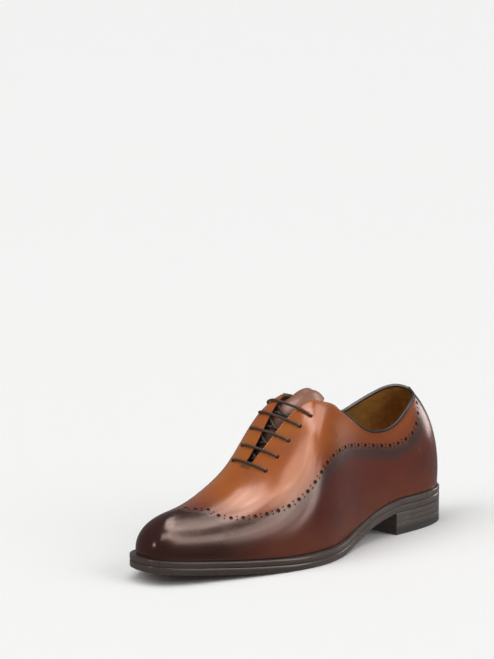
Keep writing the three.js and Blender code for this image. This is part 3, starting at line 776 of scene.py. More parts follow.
@dataclass(frozen=True)
class BurnishedCalf:
    """Polished calf leather, tan above the punched line and burnished dark below it.

    Its fades run along the clouds, or in tenths of a metre along the distance from the line,
    the height over the sole, the depth under the collar and the place along the shoe.
    """

    name: str = "burnished calf"
    tan: tuple = (0.325, 0.074, 0.012)
    amber: tuple = (0.350, 0.100, 0.012)
    russet: tuple = (0.180, 0.040, 0.013)
    burgundy: tuple = (0.122, 0.024, 0.014)
    plum: tuple = (0.066, 0.012, 0.009)
    toe: tuple = (0.024, 0.006, 0.005)
    black: tuple = (0.056, 0.031, 0.028)
    ember: tuple = (0.190, 0.050, 0.020)
    roughness: float = 0.22
    less_rough: float = 0.04
    more_rough: float = 0.06
    specular: float = 0.50
    specular_tint: tuple = (1.0, 0.82, 0.74, 1.0)
    coat: float = 0.10
    coat_roughness: float = 0.15
    bump: float = 0.04
    grain_cells: float = 900.0
    grain_clouds: float = 38.0
    broad_clouds: float = 14.0
    broad_swirl: float = 0.4
    line_wobble: float = 0.08
    amber_clouds: Fade = Fade(0.35, 0.65)
    russet_clouds: Fade = Fade(0.45, 0.75, 0.0, 0.45)
    russet_over_line: Fade = Fade(0.02, 0.16, 0.7, 0.0)
    collar_depth: Fade = Fade(0.0, 0.06, 0.65, 0.0)
    collar_reach: Fade = Fade(0.95, 1.25, 1.0, 0.0)
    heel_shade: Fade = Fade(0.22, 0.45, 0.8, 0.0)
    vamp_shade: Fade = Fade(2.20, 2.60, 0.0, 0.7)
    black_over_line: Fade = Fade(-0.045, 0.035)
    plum_clouds: Fade = Fade(0.40, 0.66)
    ember_rise: Fade = Fade(0.02, 0.30, 0.5, 0.0)
    black_under_line: Fade = Fade(-0.16, -0.03)
    toe_slant: float = 0.7
    toe_shade: Fade = Fade(1.85, 2.70, 0.0, 0.97)
    line_edge: Fade = Fade(-0.05, -0.045)
    glow_rise: Fade = Fade(0.012, 0.045, 0.65, 0.0)
    glow_reach: Fade = Fade(1.5, 2.2, 1.0, 0.2)
    # painted shade, dark, in the crease just over the welt
    welt_crease_shade_rise: Fade = Fade(0.004, 0.014, 0.9, 0.0)

    def build(self) -> bpy.types.Material:
        """Makes the material, which reads the piece's maps of the line, the sole's edge and the rim.

        Returns:
            The material.
        """
        material, graph, shader = new_material(self.name)
        grain = grain_node(graph, self.grain_cells, self.grain_clouds)
        clouds = grain.outputs["Clouds"]
        broad = graph.noise(graph.place(), self.broad_clouds, distortion=self.broad_swirl)
        foot = graph.uv("foot")
        along, rise = graph.axis(foot, "X"), graph.axis(foot, "Y")
        wobble = graph.math("MULTIPLY_ADD", clouds, self.line_wobble, -self.line_wobble / 2)
        distance = graph.math("ADD", graph.axis(graph.uv("line"), "Y"), wobble)
        upper = self._above_line(graph, clouds, broad, distance, along)
        lower = self._below_line(graph, broad, distance, rise, along)
        colour = graph.blend(graph.fade(distance, self.line_edge), lower, upper)
        glow = graph.math("MULTIPLY", graph.fade(rise, self.glow_rise), graph.fade(along, self.glow_reach))
        colour = graph.blend(glow, colour, self.ember)
        # painted shade: darkens the leather just above the sole's edge, where the upper meets the welt
        colour = graph.blend(graph.fade(rise, self.welt_crease_shade_rise), colour, self.black)
        sockets = {"Base Color": colour,
                   "Roughness": graph.rough_clouds(clouds, self.roughness, self.less_rough, self.more_rough),
                   "Specular IOR Level": self.specular, "Specular Tint": self.specular_tint,
                   "Coat Weight": self.coat, "Coat Roughness": self.coat_roughness}
        dress(graph, shader, sockets, grain.outputs["Height"], self.bump)
        return material

    def _above_line(self, graph: Graph, clouds: bpy.types.NodeSocket, broad: bpy.types.NodeSocket,
                    distance: bpy.types.NodeSocket, along: bpy.types.NodeSocket) -> bpy.types.NodeSocket:
        """Colour above the line: cloudy tan, stained at the line, the collar, the heel and the vamp.

        Args:
            graph: The material's graph.
            clouds: The grain's clouds.
            broad: Broader clouds.
            distance: Distance above the line.
            along: Place along the shoe.

        Returns:
            The colour.
        """
        collar = graph.math("MULTIPLY", graph.fade(graph.axis(graph.uv("rim"), "Y"), self.collar_depth),
                            graph.fade(along, self.collar_reach))
        stains = (
            (graph.fade(clouds, self.russet_clouds), self.russet),
            (graph.fade(distance, self.russet_over_line), self.russet),
            (collar, self.russet),
            (graph.fade(along, self.heel_shade), self.burgundy),
            (graph.fade(along, self.vamp_shade), self.burgundy),
        )
        colour = graph.blend(graph.fade(broad, self.amber_clouds), self.tan, self.amber)
        for share, stain in stains:
            colour = graph.blend(share, colour, stain)
        return graph.blend(graph.fade(distance, self.black_over_line), self.black, colour)

    def _below_line(self, graph: Graph, broad: bpy.types.NodeSocket, distance: bpy.types.NodeSocket,
                    rise: bpy.types.NodeSocket, along: bpy.types.NodeSocket) -> bpy.types.NodeSocket:
        """Colour below the line: burgundy, warmer at the foot, blackened at the line and the toe.

        Args:
            graph: The material's graph.
            broad: Broad clouds.
            distance: Distance above the line.
            rise: Height over the sole's edge.
            along: Place along the shoe.

        Returns:
            The colour.
        """
        ahead = graph.math("MULTIPLY_ADD", rise, self.toe_slant, along)
        colour = graph.blend(graph.fade(broad, self.plum_clouds), self.burgundy, self.plum)
        colour = graph.blend(graph.fade(rise, self.ember_rise), colour, self.ember)
        colour = graph.blend(graph.fade(distance, self.black_under_line), colour, self.black)
        return graph.blend(graph.fade(ahead, self.toe_shade), colour, self.toe)


@dataclass(frozen=True)
class PlainLeather:
    """Leather of one colour with cloudy changes of shade."""

    name: str
    light: tuple
    dark: tuple
    roughness: float = 0.5
    cells: float = 1300.0
    bump: float = 0.15
    coat: float = 0.0
    coat_roughness: float = 0.3
    clouds: float = 55.0

    def build(self) -> bpy.types.Material:
        """Makes the material.

        Returns:
            The material.
        """
        material, graph, shader = new_material(self.name)
        grain = grain_node(graph, self.cells, self.clouds)
        clouds = grain.outputs["Clouds"]
        sockets = {"Base Color": graph.blend(graph.fade(clouds, MOTTLE), self.dark, self.light),
                   "Roughness": graph.rough_clouds(clouds, self.roughness),
                   "Coat Weight": self.coat, "Coat Roughness": self.coat_roughness}
        dress(graph, shader, sockets, grain.outputs["Height"], self.bump)
        return material


@dataclass(frozen=True)
class LiningCalf:
    """Golden calf of the lining, darkened by painted shade towards the instep and left lighter at the heel."""

    name: str = "lining calf"
    light: tuple = (0.560, 0.270, 0.045)
    dark: tuple = (0.400, 0.180, 0.028)
    # colour of the painted shade towards the instep
    shade: tuple = (0.120, 0.055, 0.014)
    # where the painted shade falls, by place along the imported frame, in metres
    painted_shade_along: Fade = Fade(-0.110, -0.055, 0.0, 0.85)
    roughness: float = 0.62
    bump: float = 0.15
    cells: float = 1300.0
    clouds: float = 150.0

    def build(self) -> bpy.types.Material:
        """Makes the material, whose painted shade is placed in the shoe's own coordinates.

        Returns:
            The material.
        """
        material, graph, shader = new_material(self.name)
        grain = grain_node(graph, self.cells, self.clouds)
        along = graph.axis(graph.place(), "X")
        colour = graph.blend(graph.fade(grain.outputs["Clouds"], MOTTLE), self.dark, self.light)
        # painted shade, darker towards the instep
        colour = graph.blend(graph.fade(along, self.painted_shade_along), colour, self.shade)
        sockets = {"Base Color": colour, "Roughness": self.roughness}
        dress(graph, shader, sockets, grain.outputs["Height"], self.bump)
        return material


@dataclass(frozen=True)
class TongueCalf:
    """Brown calf of the tongue, painted lighter at its top where light falls on it, and with painted shade,
    near black, down in the slit.
    """

    name: str = "tongue leather"
    # top is painted light for the lit top of the tongue, low is painted shade down in the slit
    top: tuple = (0.270, 0.125, 0.078)
    middle: tuple = (0.130, 0.045, 0.026)
    low: tuple = (0.012, 0.007, 0.006)
    # heights in the imported frame, in metres, of the painted highlight and the painted shade
    lit_top_height: Fade = Fade(0.100, 0.111)
    painted_shade_height: Fade = Fade(0.090, 0.104)
    mottle: Fade = Fade(0.35, 0.68, 0.0, 0.5)
    roughness: float = 0.38
    bump: float = 0.15
    cells: float = 1300.0
    clouds: float = 60.0

    def build(self) -> bpy.types.Material:
        """Makes the material, with a painted highlight at its top and painted shade down the throat.

        Returns:
            The material.
        """
        material, graph, shader = new_material(self.name)
        grain = grain_node(graph, self.cells, self.clouds)
        height = graph.axis(graph.place(), "Z")
        # painted highlight: lighter at the top, where light falls
        colour = graph.blend(graph.fade(height, self.lit_top_height), self.middle, self.top)
        # painted shade: near black lower down in the slit
        colour = graph.blend(graph.fade(height, self.painted_shade_height), self.low, colour)
        colour = graph.blend(graph.fade(grain.outputs["Clouds"], self.mottle), colour, self.middle)
        sockets = {"Base Color": colour, "Roughness": self.roughness}
        dress(graph, shader, sockets, grain.outputs["Height"], self.bump)
        return material


@dataclass(frozen=True)
class StackedEdge:
    """Waxed edge of sole leather, with fine lines along its layers and a darker front."""

    name: str
    light: tuple = (0.112, 0.088, 0.076)
    dark: tuple = (0.074, 0.056, 0.048)
    front: tuple = (0.040, 0.026, 0.021)
    roughness: float = 0.27
    lines: float = 900.0
    line_share: float = 0.65
    flattening: tuple = (0.03, 0.03, 1.0)
    clouds: float = 24.0
    rough_change: float = 0.08
    bump: float = 0.02
    layers: Fade = Fade(0.25, 0.75)
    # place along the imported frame, in metres
    front_along: Fade = Fade(-0.03, 0.08, 0.0, 0.8)

    def build(self) -> bpy.types.Material:
        """Makes the material.

        Returns:
            The material.
        """
        material, graph, shader = new_material(self.name)
        where = graph.place()
        flat = graph.add("ShaderNodeMapping", {"Vector": where, "Scale": self.flattening}).outputs[0]
        streaks = graph.noise(flat, self.lines, 1.0)
        clouds = graph.noise(where, self.clouds, 1.0)
        rest = graph.math("MULTIPLY", clouds, 1 - self.line_share)
        share = graph.math("MULTIPLY_ADD", streaks, self.line_share, rest)
        colour = graph.blend(graph.fade(share, self.layers), self.dark, self.light)
        colour = graph.blend(graph.fade(graph.axis(where, "X"), self.front_along), colour, self.front)
        rough = graph.rough_clouds(clouds, self.roughness, self.rough_change, self.rough_change)
        dress(graph, shader, {"Base Color": colour, "Roughness": rough}, streaks, self.bump)
        return material


@dataclass(frozen=True)
class TwistedCord:
    """Round braided cord, waxed, with its strands along the piece's own map."""

    name: str
    light: tuple = (0.078, 0.048, 0.038)
    dark: tuple = (0.014, 0.009, 0.008)
    roughness: float = 0.48
    strands: float = 4.0
    weave: Fade = Fade(-0.2, 1.0)
    bump: float = 0.6

    def build(self) -> bpy.types.Material:
        """Makes the material.

        Returns:
            The material.
        """
        material, graph, shader = new_material(self.name)
        place = graph.uv("cord")
        along, around = graph.axis(place, "X"), graph.axis(place, "Y")
        waves = []
        for sign in (1.0, -1.0):
            phase = graph.math("MULTIPLY_ADD", along, self.strands * sign * math.tau,
                               graph.math("MULTIPLY", around, math.tau))
            waves.append(graph.math("SINE", phase))
        weave = graph.math("MAXIMUM", *waves)
        colour = graph.blend(graph.fade(weave, self.weave), self.dark, self.light)
        dress(graph, shader, {"Base Color": colour, "Roughness": self.roughness}, weave, self.bump)
        return material


@dataclass(frozen=True)
class Plain:
    """Small dark or light stuff such as thread, raw cut edges and rubber."""

    name: str
    colour: tuple
    shade: tuple
    roughness: float
    scale: float = 700.0
    speckle: Fade = Fade(0.35, 0.65)
    bump: float = 0.2

    def build(self) -> bpy.types.Material:
        """Makes the material.

        Returns:
            The material.
        """
        material, graph, shader = new_material(self.name)
        speck = graph.noise(graph.place(), self.scale, 4.0)
        colour = graph.blend(graph.fade(speck, self.speckle), self.shade, self.colour)
        dress(graph, shader, {"Base Color": colour, "Roughness": self.roughness}, speck, self.bump)
        return material


@dataclass(frozen=True)
class Finishes:
    """All materials of the shoe."""

    calf: bpy.types.Material
    punched: bpy.types.Material
    lining: bpy.types.Material
    trim: bpy.types.Material
    tongue: bpy.types.Material
    edge: bpy.types.Material
    heel: bpy.types.Material
    breast: bpy.types.Material
    tread: bpy.types.Material
    rubber: bpy.types.Material
    lace: bpy.types.Material
    thread: bpy.types.Material
    pale_thread: bpy.types.Material
    tack_thread: bpy.types.Material

    @classmethod
    def make(cls) -> "Finishes":
        """Builds every material once.

        Returns:
            The materials.
        """
        return cls(
            calf=BurnishedCalf().build(),
            # near black: painted shade inside the punched holes
            punched=Plain("punched hole", (0.020, 0.010, 0.008), (0.006, 0.004, 0.004), 0.8).build(),
            lining=LiningCalf().build(),
            trim=PlainLeather("trim leather", (0.024, 0.014, 0.012), (0.012, 0.008, 0.007), 0.40).build(),
            tongue=TongueCalf().build(),
            edge=StackedEdge("sole edge").build(),
            heel=StackedEdge("heel stack", (0.122, 0.102, 0.091), (0.084, 0.069, 0.061)).build(),
            breast=StackedEdge("heel breast", (0.062, 0.032, 0.016), (0.024, 0.014, 0.009)).build(),
            tread=PlainLeather("sole leather", (0.130, 0.066, 0.032), (0.070, 0.036, 0.020), 0.5).build(),
            rubber=Plain("heel rubber", (0.050, 0.042, 0.038), (0.032, 0.027, 0.025), 0.55).build(),
            lace=TwistedCord("waxed lace").build(),
            thread=Plain("dark thread", (0.120, 0.062, 0.050), (0.060, 0.030, 0.024), 0.5).build(),
            pale_thread=Plain("tan thread", (0.560, 0.430, 0.310), (0.360, 0.250, 0.160), 0.5).build(),
            tack_thread=Plain("brown thread", (0.170, 0.095, 0.042), (0.080, 0.042, 0.022), 0.5).build(),
        )


@dataclass
class PunchedLine:
    """The punched line on both sides: its course on the last and its rows of holes."""

    last: Last
    pitch: float = 9.5
    big_radius: float = 1.6
    small_radius: float = 0.68
    pair_spread: float = 1.25
    depth: float = 1.0
    # least length that stays free of holes at the line's heel end
    free_end: float = 4.0
    # turn around the last and height along its upright curve, the same on both sides
    course: tuple = (
        (2.02, 0.760), (2.35, 0.655), (2.70, 0.575), (2.98, 0.512), (3.18, 0.463), (3.43, 0.430),
        (3.73, 0.410), (4.00, 0.400), (4.30, 0.408), (4.60, 0.427), (4.93, 0.445), (5.30, 0.460),
        (5.73, 0.468), (6.18, 0.469), (6.60, 0.469), (6.93, 0.462), (7.15, 0.448), (7.38, 0.432),
        (7.60, 0.422), (7.83, 0.418), (8.08, 0.421), (8.35, 0.425), (8.65, 0.438), (8.95, 0.452),
        (9.30, 0.473), (9.62, 0.500),
    )
    # from there over the toe to the ridge, where both sides meet
    outer_tip: tuple = (
        (9.98, 0.545), (10.15, 0.588), (10.30, 0.630), (10.40, 0.673), (10.47, 0.730), (10.57, 0.775),
        (10.82, 0.805), (11.15, 0.857), (11.62, 0.897), (12.30, 0.960), (12.50, 1.000),
    )
    inner_tip: tuple = (
        (9.98, 0.530), (10.40, 0.570), (10.90, 0.630), (11.50, 0.740), (12.10, 0.870), (12.50, 1.000),
    )
    places: dict[Side, tuple[np.ndarray, np.ndarray]] = field(init=False, repr=False)

    def __post_init__(self) -> None:
        """Draws a smooth course for each side through the tables' rows."""
        self.places = {side: self._smooth_course((*self.course, *tip))
                       for side, tip in ((Side.OUTER, self.outer_tip), (Side.INNER, self.inner_tip))}

    @staticmethod
    def _smooth_course(table: Sequence[tuple], steps: int = 12) -> tuple[np.ndarray, np.ndarray]:
        """Smooth course through rows of turn and height.

        Args:
            table: The rows.
            steps: Points drawn between two rows.

        Returns:
            The course's turns and its heights.
        """
        rows = np.array(table)
        drawn = []
        f = np.linspace(0, 1, steps, endpoint=False)[:, None]
        for i in range(len(rows) - 1):
            a, b, c, d = (rows[min(max(i + k, 0), len(rows) - 1)] for k in (-1, 0, 1, 2))
            drawn.append(0.5 * (2 * b + (c - a) * f + (2 * a - 5 * b + 4 * c - d) * f ** 2
                                + (3 * b - a - 3 * c + d) * f ** 3))
        drawn.append(rows[-1:])
        turn, up = np.concatenate(drawn).T
        return np.maximum.accumulate(turn), np.clip(up, 0, 1)

    def side_points(self, side: Side) -> tuple[np.ndarray, np.ndarray, np.ndarray]:
        """The course on one side.

        Args:
            side: Which side.

        Returns:
            Its points, the outward directions there and the length along it.
        """
        turn, up = self.places[side]
        turn = turn if side is Side.OUTER else self.last.turns - turn
        points = self.last.points(turn, up)
        normals = self.last.normals(turn, up)
        return points, normals, path_lengths(points)

    def map_values(self, turn: np.ndarray, up: np.ndarray, points: np.ndarray) -> np.ndarray:
        """Place of surface points beside the line.

        Args:
            turn: Their turns around the last.
            up: Their heights on the last.
            points: The points in millimetres.

        Returns:
            Length along the line and distance above it, in 0.1 m.
        """
        blocks = 24
        side_turn = np.minimum(turn, self.last.turns - turn)
        result = np.zeros((len(points), 2))
        above = np.zeros(len(points), bool)
        for side in Side:
            chosen = (turn <= self.last.toe_turn) == (side is Side.OUTER)
            line, _, run = self.side_points(side)
            course_turn, course_up = self.places[side]
            inside = chosen & (side_turn > course_turn[0]) & (side_turn < course_turn[-1])
            above |= inside & (up > np.interp(side_turn, course_turn, course_up))
            for block in np.array_split(np.flatnonzero(chosen), blocks):
                gap = np.linalg.norm(points[block, None] - line[None], axis=2)
                nearest = gap.argmin(axis=1)
                result[block, 0] = run[nearest]
                result[block, 1] = gap[np.arange(len(block)), nearest]
        result[:, 1] *= np.where(above, 1, -1)
        return result / MAP_UNIT

    def holes(self) -> list[tuple[np.ndarray, np.ndarray, float]]:
        """Big holes in a row with a pair of small ones between each two.

        Returns:
            Centre, outward direction and radius of every hole; the one on the ridge is the outer side's.
        """
        found = []
        for side in Side:
            line, normals, run = self.side_points(side)
            count = int((run[-1] - self.free_end) / self.pitch)
            first = run[-1] - count * self.pitch
            for number in range(count + 1):
                place = first + number * self.pitch
                if side is Side.OUTER or number < count:
                    normal = at_length(place, run, normals)
                    normal /= np.linalg.norm(normal)
                    found.append((at_length(place, run, line), normal, self.big_radius))
                if number == count:
                    continue
                place += self.pitch / 2
                normal = at_length(place, run, normals)
                normal /= np.linalg.norm(normal)
                across = np.cross(normal, at_length(place + 1, run, line) - at_length(place - 1, run, line))
                across /= np.linalg.norm(across)
                for sign in (-1, 1):
                    spot = at_length(place, run, line) + across * sign * self.pair_spread
                    found.append((spot, normal, self.small_radius))
        return found


@dataclass
class Part:
    """A sub-assembly of the shoe, built over the last and dressed in the finishes."""

    last: Last
    finishes: Finishes


@dataclass
class Lacing(Part):
    """The five bars of the lace, their eyelets and the runs that cross inside the throat."""

    count: int = 5
    foot_share: float = 0.651
    top_share: float = 0.520
    foot_span: float = 34.6
    top_span: float = 45.0
    diameter: float = 2.1
    eyelet_radius: float = 1.7
    wall: float = 2.2
    sides: int = 12
    path_step: float = 0.55
    # radius at a run's closed end, as a share of the diameter
    end_share: float = 0.36
    # length and turns of the cord that one unit of its map takes
    map_length: float = 12.0
    map_turns: float = 3.0
    # down each eyelet from the end of a bar
    end_drops: tuple = (-1.4, -2.6, -3.9)
    # how much deeper the runs of one slant lie where they cross the others
    crossing_dip: float = 0.9
    run_gap: float = 0.1

    def bar(self, number: int) -> tuple[float, float]:
        """Place of a bar.

        Args:
            number: The bar, from 0 at the foot of the throat.

        Returns:
            Turn of its row and half of its span.
        """
        f = number / (self.count - 1)
        along = self.foot_share + (self.top_share - self.foot_share) * f
        return (self.last.turn_at_ridge(along * self.last.length),
                (self.foot_span + (self.top_span - self.foot_span) * f) / 2)

    def eyelets(self) -> list[tuple[np.ndarray, np.ndarray]]:
        """Places of the eyelets.

        Returns:
            Place and outward direction of every eyelet, by bar and inner side first.
        """
        found = []
        for number in range(self.count):
            turn, half = self.bar(number)
            turns, ups = self.last.across_ridge(turn, half, np.array([-1.0, 1.0]))
            points, normals = self.last.points(turns, ups), self.last.normals(turns, ups)
            found += [(points[k], normals[k]) for k in range(2)]
        return found

    def _tube(self, piece: Piece, path: np.ndarray) -> None:
        """Adds a round closed tube.

        Args:
            piece: The mesh that takes it.
            path: Its middle line in millimetres.
        """
        path = resampled(path, self.path_step)
        along = np.gradient(path, axis=0)
        along /= np.linalg.norm(along, axis=1)[:, None]
        across = np.cross(along, np.array([0.0, 0.0, 1.0]))
        across /= np.maximum(np.linalg.norm(across, axis=1)[:, None], TINY)
        rising = np.cross(across, along)
        angle = np.linspace(0, math.tau, self.sides + 1)
        radius = np.full(len(path), self.diameter / 2)
        radius[[0, -1]] = self.diameter * self.end_share
        cosine, sine = (wave(angle)[None, :, None] for wave in (np.cos, np.sin))
        rim = path[:, None] + radius[:, None, None] * (across[:, None] * cosine + rising[:, None] * sine)
        strands = (path_lengths(path) / self.map_length, angle / math.tau * self.map_turns)
        uv = np.stack(np.meshgrid(*strands, indexing="ij"), axis=2)
        verts = piece.sheet(self.last.to_part(rim), uvs={"cord": uv})
        first, final = (Vector(self.last.to_part(path[k])) for k in (0, -1))
        ends = ([], [])
        for vert in verts:
            if vert.is_boundary:
                ends[0 if (first - vert.co).length < (final - vert.co).length else 1].append(vert)
        bmesh.ops.remove_doubles(piece.bm, verts=verts, dist=WELD)
        for group in ends:
            edges = [edge for vert in group if vert.is_valid for edge in vert.link_edges if edge.is_boundary]
            bmesh.ops.holes_fill(piece.bm, edges=list(set(edges)), sides=0)

    def build(self) -> None:
        """Makes the outer bars and the inner runs."""
        lift = self.last.clearance + self.diameter / 2
        for number in range(self.count):
            turn, half = self.bar(number)
            over, ends = self._taut_row(turn, half, lift)
            path = np.concatenate([ends[0][::-1], over[1:-1], ends[1]])
            piece = Piece(f"lace_run_{number + 1}")
            self._tube(piece, path)
            piece.outward()
            obj = piece.finish([self.finishes.lace])
            mount_piece(obj, [f"lace_bar_{number + 1}"])
        self._inner_runs()

    def _taut_row(self, turn: float, half: float, lift: float) -> tuple[np.ndarray, list[np.ndarray]]:
        """Course of a bar pulled tight over the facings.

        Args:
            turn: Turn of its row.
            half: Half of its span.
            lift: Height of the cord's middle.

        Returns:
            Points from eyelet to eyelet, and three points down each one.
        """
        count, end_sink, end_power = 61, 0.7, 6
        share = np.linspace(-1, 1, count)
        turns, ups = self.last.across_ridge(turn, half, share)
        over = self.last.offset(turns, ups, lift * np.cos(share ** end_power * end_sink))
        chord = over[-1] - over[0]
        chord /= np.linalg.norm(chord)
        normals = self.last.normals(turns, ups)
        out = normals.mean(axis=0)
        out -= chord * (out @ chord)
        out /= np.linalg.norm(out)
        place, height = (over - over[0]) @ chord, (over - over[0]) @ out
        # the cord touches the leather only at these places, the corners of its hull
        kept = [0]
        for k in range(1, len(place)):
            while len(kept) > 1:
                a, b = kept[-2], kept[-1]
                before = (height[b] - height[a]) * (place[k] - place[a])
                if before > (height[k] - height[a]) * (place[b] - place[a]):
                    break
                kept.pop()
            kept.append(k)
        taut = np.interp(place, place[kept], height[kept])
        over = over[0] + place[:, None] * chord + taut[:, None] * out
        ends = [over[k] + normals[k] * np.array(self.end_drops)[:, None] for k in (0, -1)]
        return over, ends

    def _inner_runs(self) -> None:
        """Makes the runs that cross under the facings from one row of eyelets to the next."""
        piece = Piece("lace_inner_runs")
        under = -self.wall - self.diameter / 2 - self.run_gap
        count = 19
        for number in range(self.count - 1):
            low_turn, low_half = self.bar(number)
            high_turn, high_half = self.bar(number + 1)
            for sign in (-1, 1):
                dip = self.crossing_dip if sign > 0 else 0.0
                points = []
                for share in np.linspace(-1, 1, count):
                    done = (share + 1) / 2
                    row = low_turn + (high_turn - low_turn) * done
                    half = low_half + (high_half - low_half) * done
                    turns, ups = self.last.across_ridge(row, half, np.array([share * sign]))
                    depth = under - dip * math.cos(share * math.pi / 2)
                    points.append(self.last.offset(turns, ups, depth)[0])
                self._tube(piece, np.array(points))
        piece.outward()
        mount_piece(piece.finish([self.finishes.lace]), [])


def resampled(path: np.ndarray, step: float) -> np.ndarray:
    """Even points along a path.

    Args:
        path: Points in order.
        step: Wanted distance between them.

    Returns:
        The new points, with the path's own ends.
    """
    fewest, smoothings = 4, 3
    run = path_lengths(path)
    count = max(int(run[-1] / step), fewest)
    even = at_length(np.linspace(0, run[-1], count + 1), run, path)
    for _ in range(smoothings):
        even[1:-1] = (even[:-2] + 2 * even[1:-1] + even[2:]) / 4
    return even


@dataclass
class Stitching:
    """Rows of short stitches along paths on the surface, in millimetres."""

    length: float = 1.7
    gap: float = 0.7
    thickness: float = 0.45
    sink: float = 0.12

    def sew(self, piece: Piece, last: Last, path: np.ndarray, normals: np.ndarray) -> None:
        """Adds stitches along a path.

        Args:
            piece: The mesh that takes them.
            last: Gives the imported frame.
            path: Points in millimetres.
            normals: Outward directions at the points.
        """
        reach = 0.4
        run = path_lengths(path)
        count = int(run[-1] / (self.length + self.gap))
        upright = Matrix.Rotation(math.pi / 2, 4, "Y")
        size = Matrix.Diagonal((self.length / 2, self.thickness / 2, self.thickness / 2, 1.0))
        for number in range(count):
            place = (number + 0.5) * run[-1] / count
            ahead, back = (at_length(place + step, run, path) for step in (reach, -reach))
            along = Vector(ahead - back).normalized()
            out = Vector(at_length(place, run, normals)).normalized()
            across = along.cross(out).normalized()
            turn = Matrix((along, across, out)).transposed().to_4x4()
            centre = Vector(last.to_part(at_length(place, run, path))) - out * self.sink * MILLIMETRE
            matrix = Matrix.Translation(centre) @ turn @ Matrix.Scale(MILLIMETRE, 4) @ size @ upright
            bmesh.ops.create_uvsphere(piece.bm, u_segments=6, v_segments=5, radius=1.0, matrix=matrix)


@dataclass
class Upper(Part):
    """The upper: its outer leather with the punched line and eyelets, lining, binding and stitches."""

    line: PunchedLine
    lacing: Lacing
    leather: float = 1.3
    wall: float = 2.2
    levels: int = 46
    steps: tuple = (46, 16, 26, 42)
    # below 1 the rows crowd towards the top edge
    row_spread: float = 0.88
    rim_round: float = 0.45
    rim_angle: float = 55.0
    sharp_angle: float = 38.0
    punch_stand: float = 1.2
    punch_past: float = 1.0
    punch_taper: float = 0.94
    lining_steps: tuple = (30, 10, 16, 26)
    lining_levels: int = 26
    # how far the lining stays below the top edge, as a share of the upright curve
    lining_drop: float = 0.004
    lining_throat_drop: float = 0.030
    lining_gap: float = 0.05
    binding_half_width: float = 1.35
    binding_half_height: float = 1.1
    binding_overlap: float = 0.1
    binding_squareness: float = 0.75
    binding_end_points: int = 6
    collar_stitch_depth: float = 1.7
    facing_stitch_depth: float = 1.5
    tack_half_width: float = 5.2
    tack_beyond_slit: float = 2.0

    def _grid(self, turns: np.ndarray, levels: int, depth: float,
              top_drop: float | np.ndarray = 0.0) -> tuple[np.ndarray, np.ndarray, np.ndarray]:
        """Rows of places over the last from its lower edge to the upper's top edge.

        Args:
            turns: Turn of each row.
            levels: Steps in each row.
            depth: How far outside the last they lie.
            top_drop: How far the rows end below the top edge where the upper is open.

        Returns:
            Their turns, their heights and their points.
        """
        top = self.last.top_of_upper(turns)
        top = np.where(top < 1, top - top_drop, top)
        share = np.linspace(0, 1, levels + 1) ** self.row_spread
        turn = np.repeat(turns[:, None], levels + 1, axis=1)
        up = top[:, None] * share[None]
        points = self.last.offset(turn.ravel(), up.ravel(), depth)
        return turn, up, points.reshape(*turn.shape, 3)

    def _shell(self) -> Piece:
        """Outer surface with its maps of the line, the sole's edge and the rim.

        Returns:
            The open surface, without its wall.
        """
        turns = self.last.stations(self.steps)
        turn, up, points = self._grid(turns, self.levels, 0.0)
        line = self.line.map_values(turn.ravel(), up.ravel(), points.reshape(-1, 3)).reshape(*turn.shape, 2)
        rise = points[..., 2] - self.last.feather_height(points[..., 0])
        foot = np.stack([points[..., 0], rise], axis=2) / MAP_UNIT
        step = np.linalg.norm(np.diff(points, axis=1), axis=2)
        below = np.concatenate([np.cumsum(step[:, ::-1], axis=1)[:, ::-1], np.zeros((len(turns), 1))], axis=1)
        open_top = (self.last.top_of_upper(turns) < 1)[:, None]
        rim = np.stack([turn, np.where(open_top, below, MAP_UNIT)], axis=2) / MAP_UNIT
        piece = Piece("upper_leather")
        piece.sheet(self.last.to_part(points), flip=True, uvs={"line": line, "foot": foot, "rim": rim})
        piece.weld()
        return piece

    def _punches(self) -> bpy.types.Object:
        """Round punches for the line's holes and the eyelets, all in one mesh.

        Returns:
            The punches, which are cut out and removed.
        """
        piece = Piece("punches")
        stand = self.punch_stand
        places = [(spot, normal, radius, self.line.depth) for spot, normal, radius in self.line.holes()]
        eyelet = (self.lacing.eyelet_radius, self.wall + self.punch_past)
        places += [(spot, normal, *eyelet) for spot, normal in self.lacing.eyelets()]
        for spot, normal, radius, depth in places:
            turn = Vector((0, 0, 1)).rotation_difference(Vector(normal)).to_matrix().to_4x4()
            centre = Vector(self.last.to_part(spot + normal * (stand - depth) / 2))
            bmesh.ops.create_cone(piece.bm, cap_ends=True, cap_tris=False, segments=20 if radius > 1 else 10,
                                  radius1=radius * self.punch_taper * MILLIMETRE, radius2=radius * MILLIMETRE,
                                  depth=(depth + stand) * MILLIMETRE, matrix=Matrix.Translation(centre) @ turn)
        for face in piece.bm.faces:
            face.material_index = 1
        return piece.finish([self.finishes.calf, self.finishes.punched])

    def build(self) -> None:
        """Makes all pieces of the upper."""
        self._leather()
        self._lining()
        self._binding()
        self._stitches()

    def _leather(self) -> None:
        """Makes the outer leather with its wall, rounded rim, punched line and eyelets."""
        shell = self._shell().finish([self.finishes.calf, self.finishes.punched, self.finishes.trim])
        wall = shell.modifiers.new("wall", "SOLIDIFY")
        wall.thickness = self.leather * MILLIMETRE
        wall.offset = -1.0
        wall.material_offset_rim = 2
        rim = shell.modifiers.new("rim", "BEVEL")
        rim.width = self.rim_round * MILLIMETRE
        rim.segments = 3
        rim.limit_method = "ANGLE"
        rim.angle_limit = math.radians(self.rim_angle)
        punches = self._punches()
        applied(shell)
        shell.data.set_sharp_from_angle(angle=math.radians(self.sharp_angle))
        whole = bpy.data.objects.new("whole leather", shell.data.copy())
        bpy.context.scene.collection.objects.link(whole)
        cut = shell.modifiers.new("punched line", "BOOLEAN")
        cut.operation = "DIFFERENCE"
        cut.solver = "EXACT"
        cut.object = punches
        applied(shell)
        bpy.data.objects.remove(punches)
        self._keep_shading(shell, whole)
        mount_piece(shell, ["upper"])

